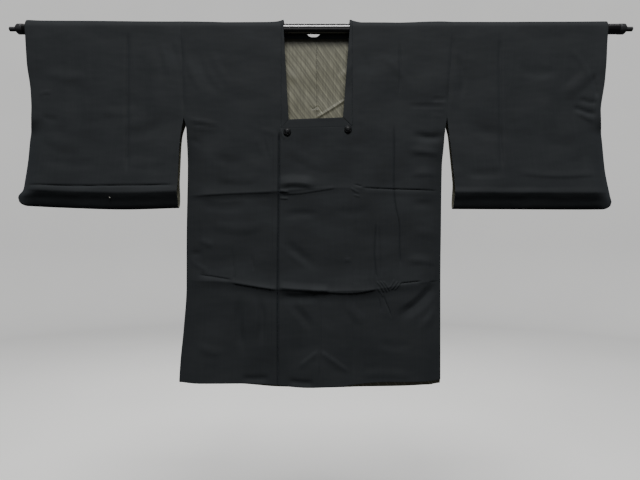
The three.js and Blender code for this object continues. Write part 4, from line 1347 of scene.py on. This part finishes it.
class COAT_OT_rod(bpy.types.Operator):
    """Adds the hanging rod with the plugs and pins at its ends"""

    bl_idname = "coat.rod"
    bl_label = "Hanging Rod"

    def execute(self, context):
        colours = context.scene.coat_colours
        radius = context.scene.coat_sizes.rod_radius / MM
        enamel = rod_finish(colours)
        tube = [(0, ROD_FROM), (radius - TUBE_EDGE, ROD_FROM), (radius, ROD_FROM + TUBE_EDGE)]
        tube += [(radius, x) for x in np.linspace(ROD_FROM + 20, ROD_TO - 20, 12)]
        tube += [(radius, ROD_TO - TUBE_EDGE), (radius - TUBE_EDGE, ROD_TO), (0, ROD_TO)]
        add_piece("rod_tube", spun("rod_tube", tube, (1, 0, 0), (0, 0, 0), 64), "rod", "rod", enamel)
        # The plugs' base colour is four times paler than the tube's: a painted sheen, for the grey shine of their
        # moulded plastic.
        cap = rod_finish(colours, "moulded_black", 0.42, 4.0)
        for name, sign, start in (("left", 1, ROD_TO + SEAM), ("right", -1, ROD_FROM - SEAM)):
            mesh = spun(f"rod_cap_{name}", PLUG, (sign, 0, 0), (start * MM, 0, 0), 48)
            add_piece(f"rod_cap_{name}", mesh, "rod", f"rod_plug_{name}", cap)
        for name in ("rod_tube", "rod_cap_left", "rod_cap_right"):
            bpy.data.objects[name].data.set_sharp_from_angle(angle=math.radians(40))
        return {"FINISHED"}


def area_light(name, place, aim, width, height, power):
    light = bpy.data.lights.new(name, "AREA")
    light.shape = "RECTANGLE"
    light.size = width
    light.size_y = height
    light.energy = power
    lamp = bpy.data.objects.new(name, light)
    bpy.context.scene.collection.objects.link(lamp)
    lamp.location = place
    lamp.rotation_euler = (Vector(aim) - Vector(place)).to_track_quat("-Z", "Y").to_euler()
    lamp.visible_camera = False
    return lamp


FLOOR, ROOM_RADIUS, ROOM_HEIGHT, COVE = -1420.0, 5500.0, 7000.0, 900.0
# The camera looks straight at the front. Metres, and the focal length as a share of the sensor's width.
EYE = (0.0073, -1.072, -0.470)
SENSOR, FOCAL_SHARE = 36, 481 / 640
# Name, place, aim, width and height in metres, and power in watts.
LIGHTS = (
    ("key", (0.05, -3.9, 5.0), (0, 0, -0.42), 3.0, 2.0, 455),
    ("fill", (0, -2.6, -0.4), (0, 0, -0.42), 1.6, 1.6, 4),
    ("top_shine", (0, -0.3, 2.2), (0, 0, 0), 4.4, 0.7, 11),
    ("back_key", (-0.4, 2.6, 1.1), (0, 0, -0.4), 2.6, 1.2, 46),
)
AIR = 0.03  # the strength of the light from all round


class COAT_OT_stage(bpy.types.Operator):
    """Adds the round studio with its floor, the lights and the camera"""

    bl_idname = "coat.stage"
    bl_label = "Stage"

    def execute(self, context):
        cove = [
            (ROOM_RADIUS - COVE + COVE * math.sin(a), COVE - COVE * math.cos(a))
            for a in np.linspace(0, math.pi / 2, 14)
        ]
        profile = [(0, 0), *cove, (ROOM_RADIUS, ROOM_HEIGHT)]
        mesh = spun("studio_room", profile, (0, 0, 1), (0, 0, FLOOR * MM), 120)
        room = bpy.data.objects.new("studio_room", mesh)
        context.scene.collection.objects.link(room)
        mesh.materials.append(wall_finish(context.scene.coat_colours))
        room.visible_diffuse = False
        room.visible_glossy = False

        camera = bpy.data.cameras.new("view")
        camera.sensor_width = SENSOR
        camera.lens = SENSOR * FOCAL_SHARE
        camera.clip_start = 0.05
        eye = bpy.data.objects.new("view", camera)
        context.scene.collection.objects.link(eye)
        eye.location = EYE
        eye.rotation_euler = (math.radians(90), 0, 0)
        context.scene.camera = eye

        lamps = {row[0]: area_light(*row) for row in LIGHTS}
        lamps["top_shine"].visible_diffuse = False

        world = context.scene.world or bpy.data.worlds.new("air")
        context.scene.world = world
        world.use_nodes = True
        sky = world.node_tree.nodes["Background"]
        sky.inputs["Color"].default_value = (1, 1, 1, 1)
        sky.inputs["Strength"].default_value = AIR
        return {"FINISHED"}


class COAT_PT_panel(bpy.types.Panel):
    bl_idname = "COAT_PT_panel"
    bl_label = "Michiyuki Coat"
    bl_space_type = "VIEW_3D"
    bl_region_type = "UI"
    bl_category = "Coat"

    def draw(self, context):
        layout = self.layout
        for group in (context.scene.coat_sizes, context.scene.coat_colours):
            column = layout.column(align=True)
            for name in group.bl_rna.properties.keys():
                if name not in ("rna_type", "name"):
                    column.prop(group, name)
        column = layout.column(align=True)
        for operator in OPERATORS:
            column.operator(operator.bl_idname)


OPERATORS = (
    COAT_OT_stage,
    COAT_OT_rod,
    COAT_OT_body,
    COAT_OT_lining,
    COAT_OT_overlaps,
    COAT_OT_neck_band,
    COAT_OT_sleeves,
    COAT_OT_knobs,
    COAT_OT_tack,
)
CLASSES = (CoatSizes, CoatColours, *OPERATORS, COAT_PT_panel)


def register():
    for cls in CLASSES:
        bpy.utils.register_class(cls)
    bpy.types.Scene.coat_sizes = bpy.props.PointerProperty(type=CoatSizes)
    bpy.types.Scene.coat_colours = bpy.props.PointerProperty(type=CoatColours)


def unregister():
    del bpy.types.Scene.coat_colours
    del bpy.types.Scene.coat_sizes
    for cls in reversed(CLASSES):
        bpy.utils.unregister_class(cls)


def plain(box):
    return [[float(v) for v in corner] for corner in box]


def main():
    register()
    bpy.ops.coat.stage()
    bpy.ops.coat.rod()
    bpy.ops.coat.body()
    bpy.ops.coat.lining()
    bpy.ops.coat.overlaps()
    bpy.ops.coat.neck_band()
    bpy.ops.coat.sleeves()
    bpy.ops.coat.knobs()
    bpy.ops.coat.tack()


if __name__ == "__main__":
    main()
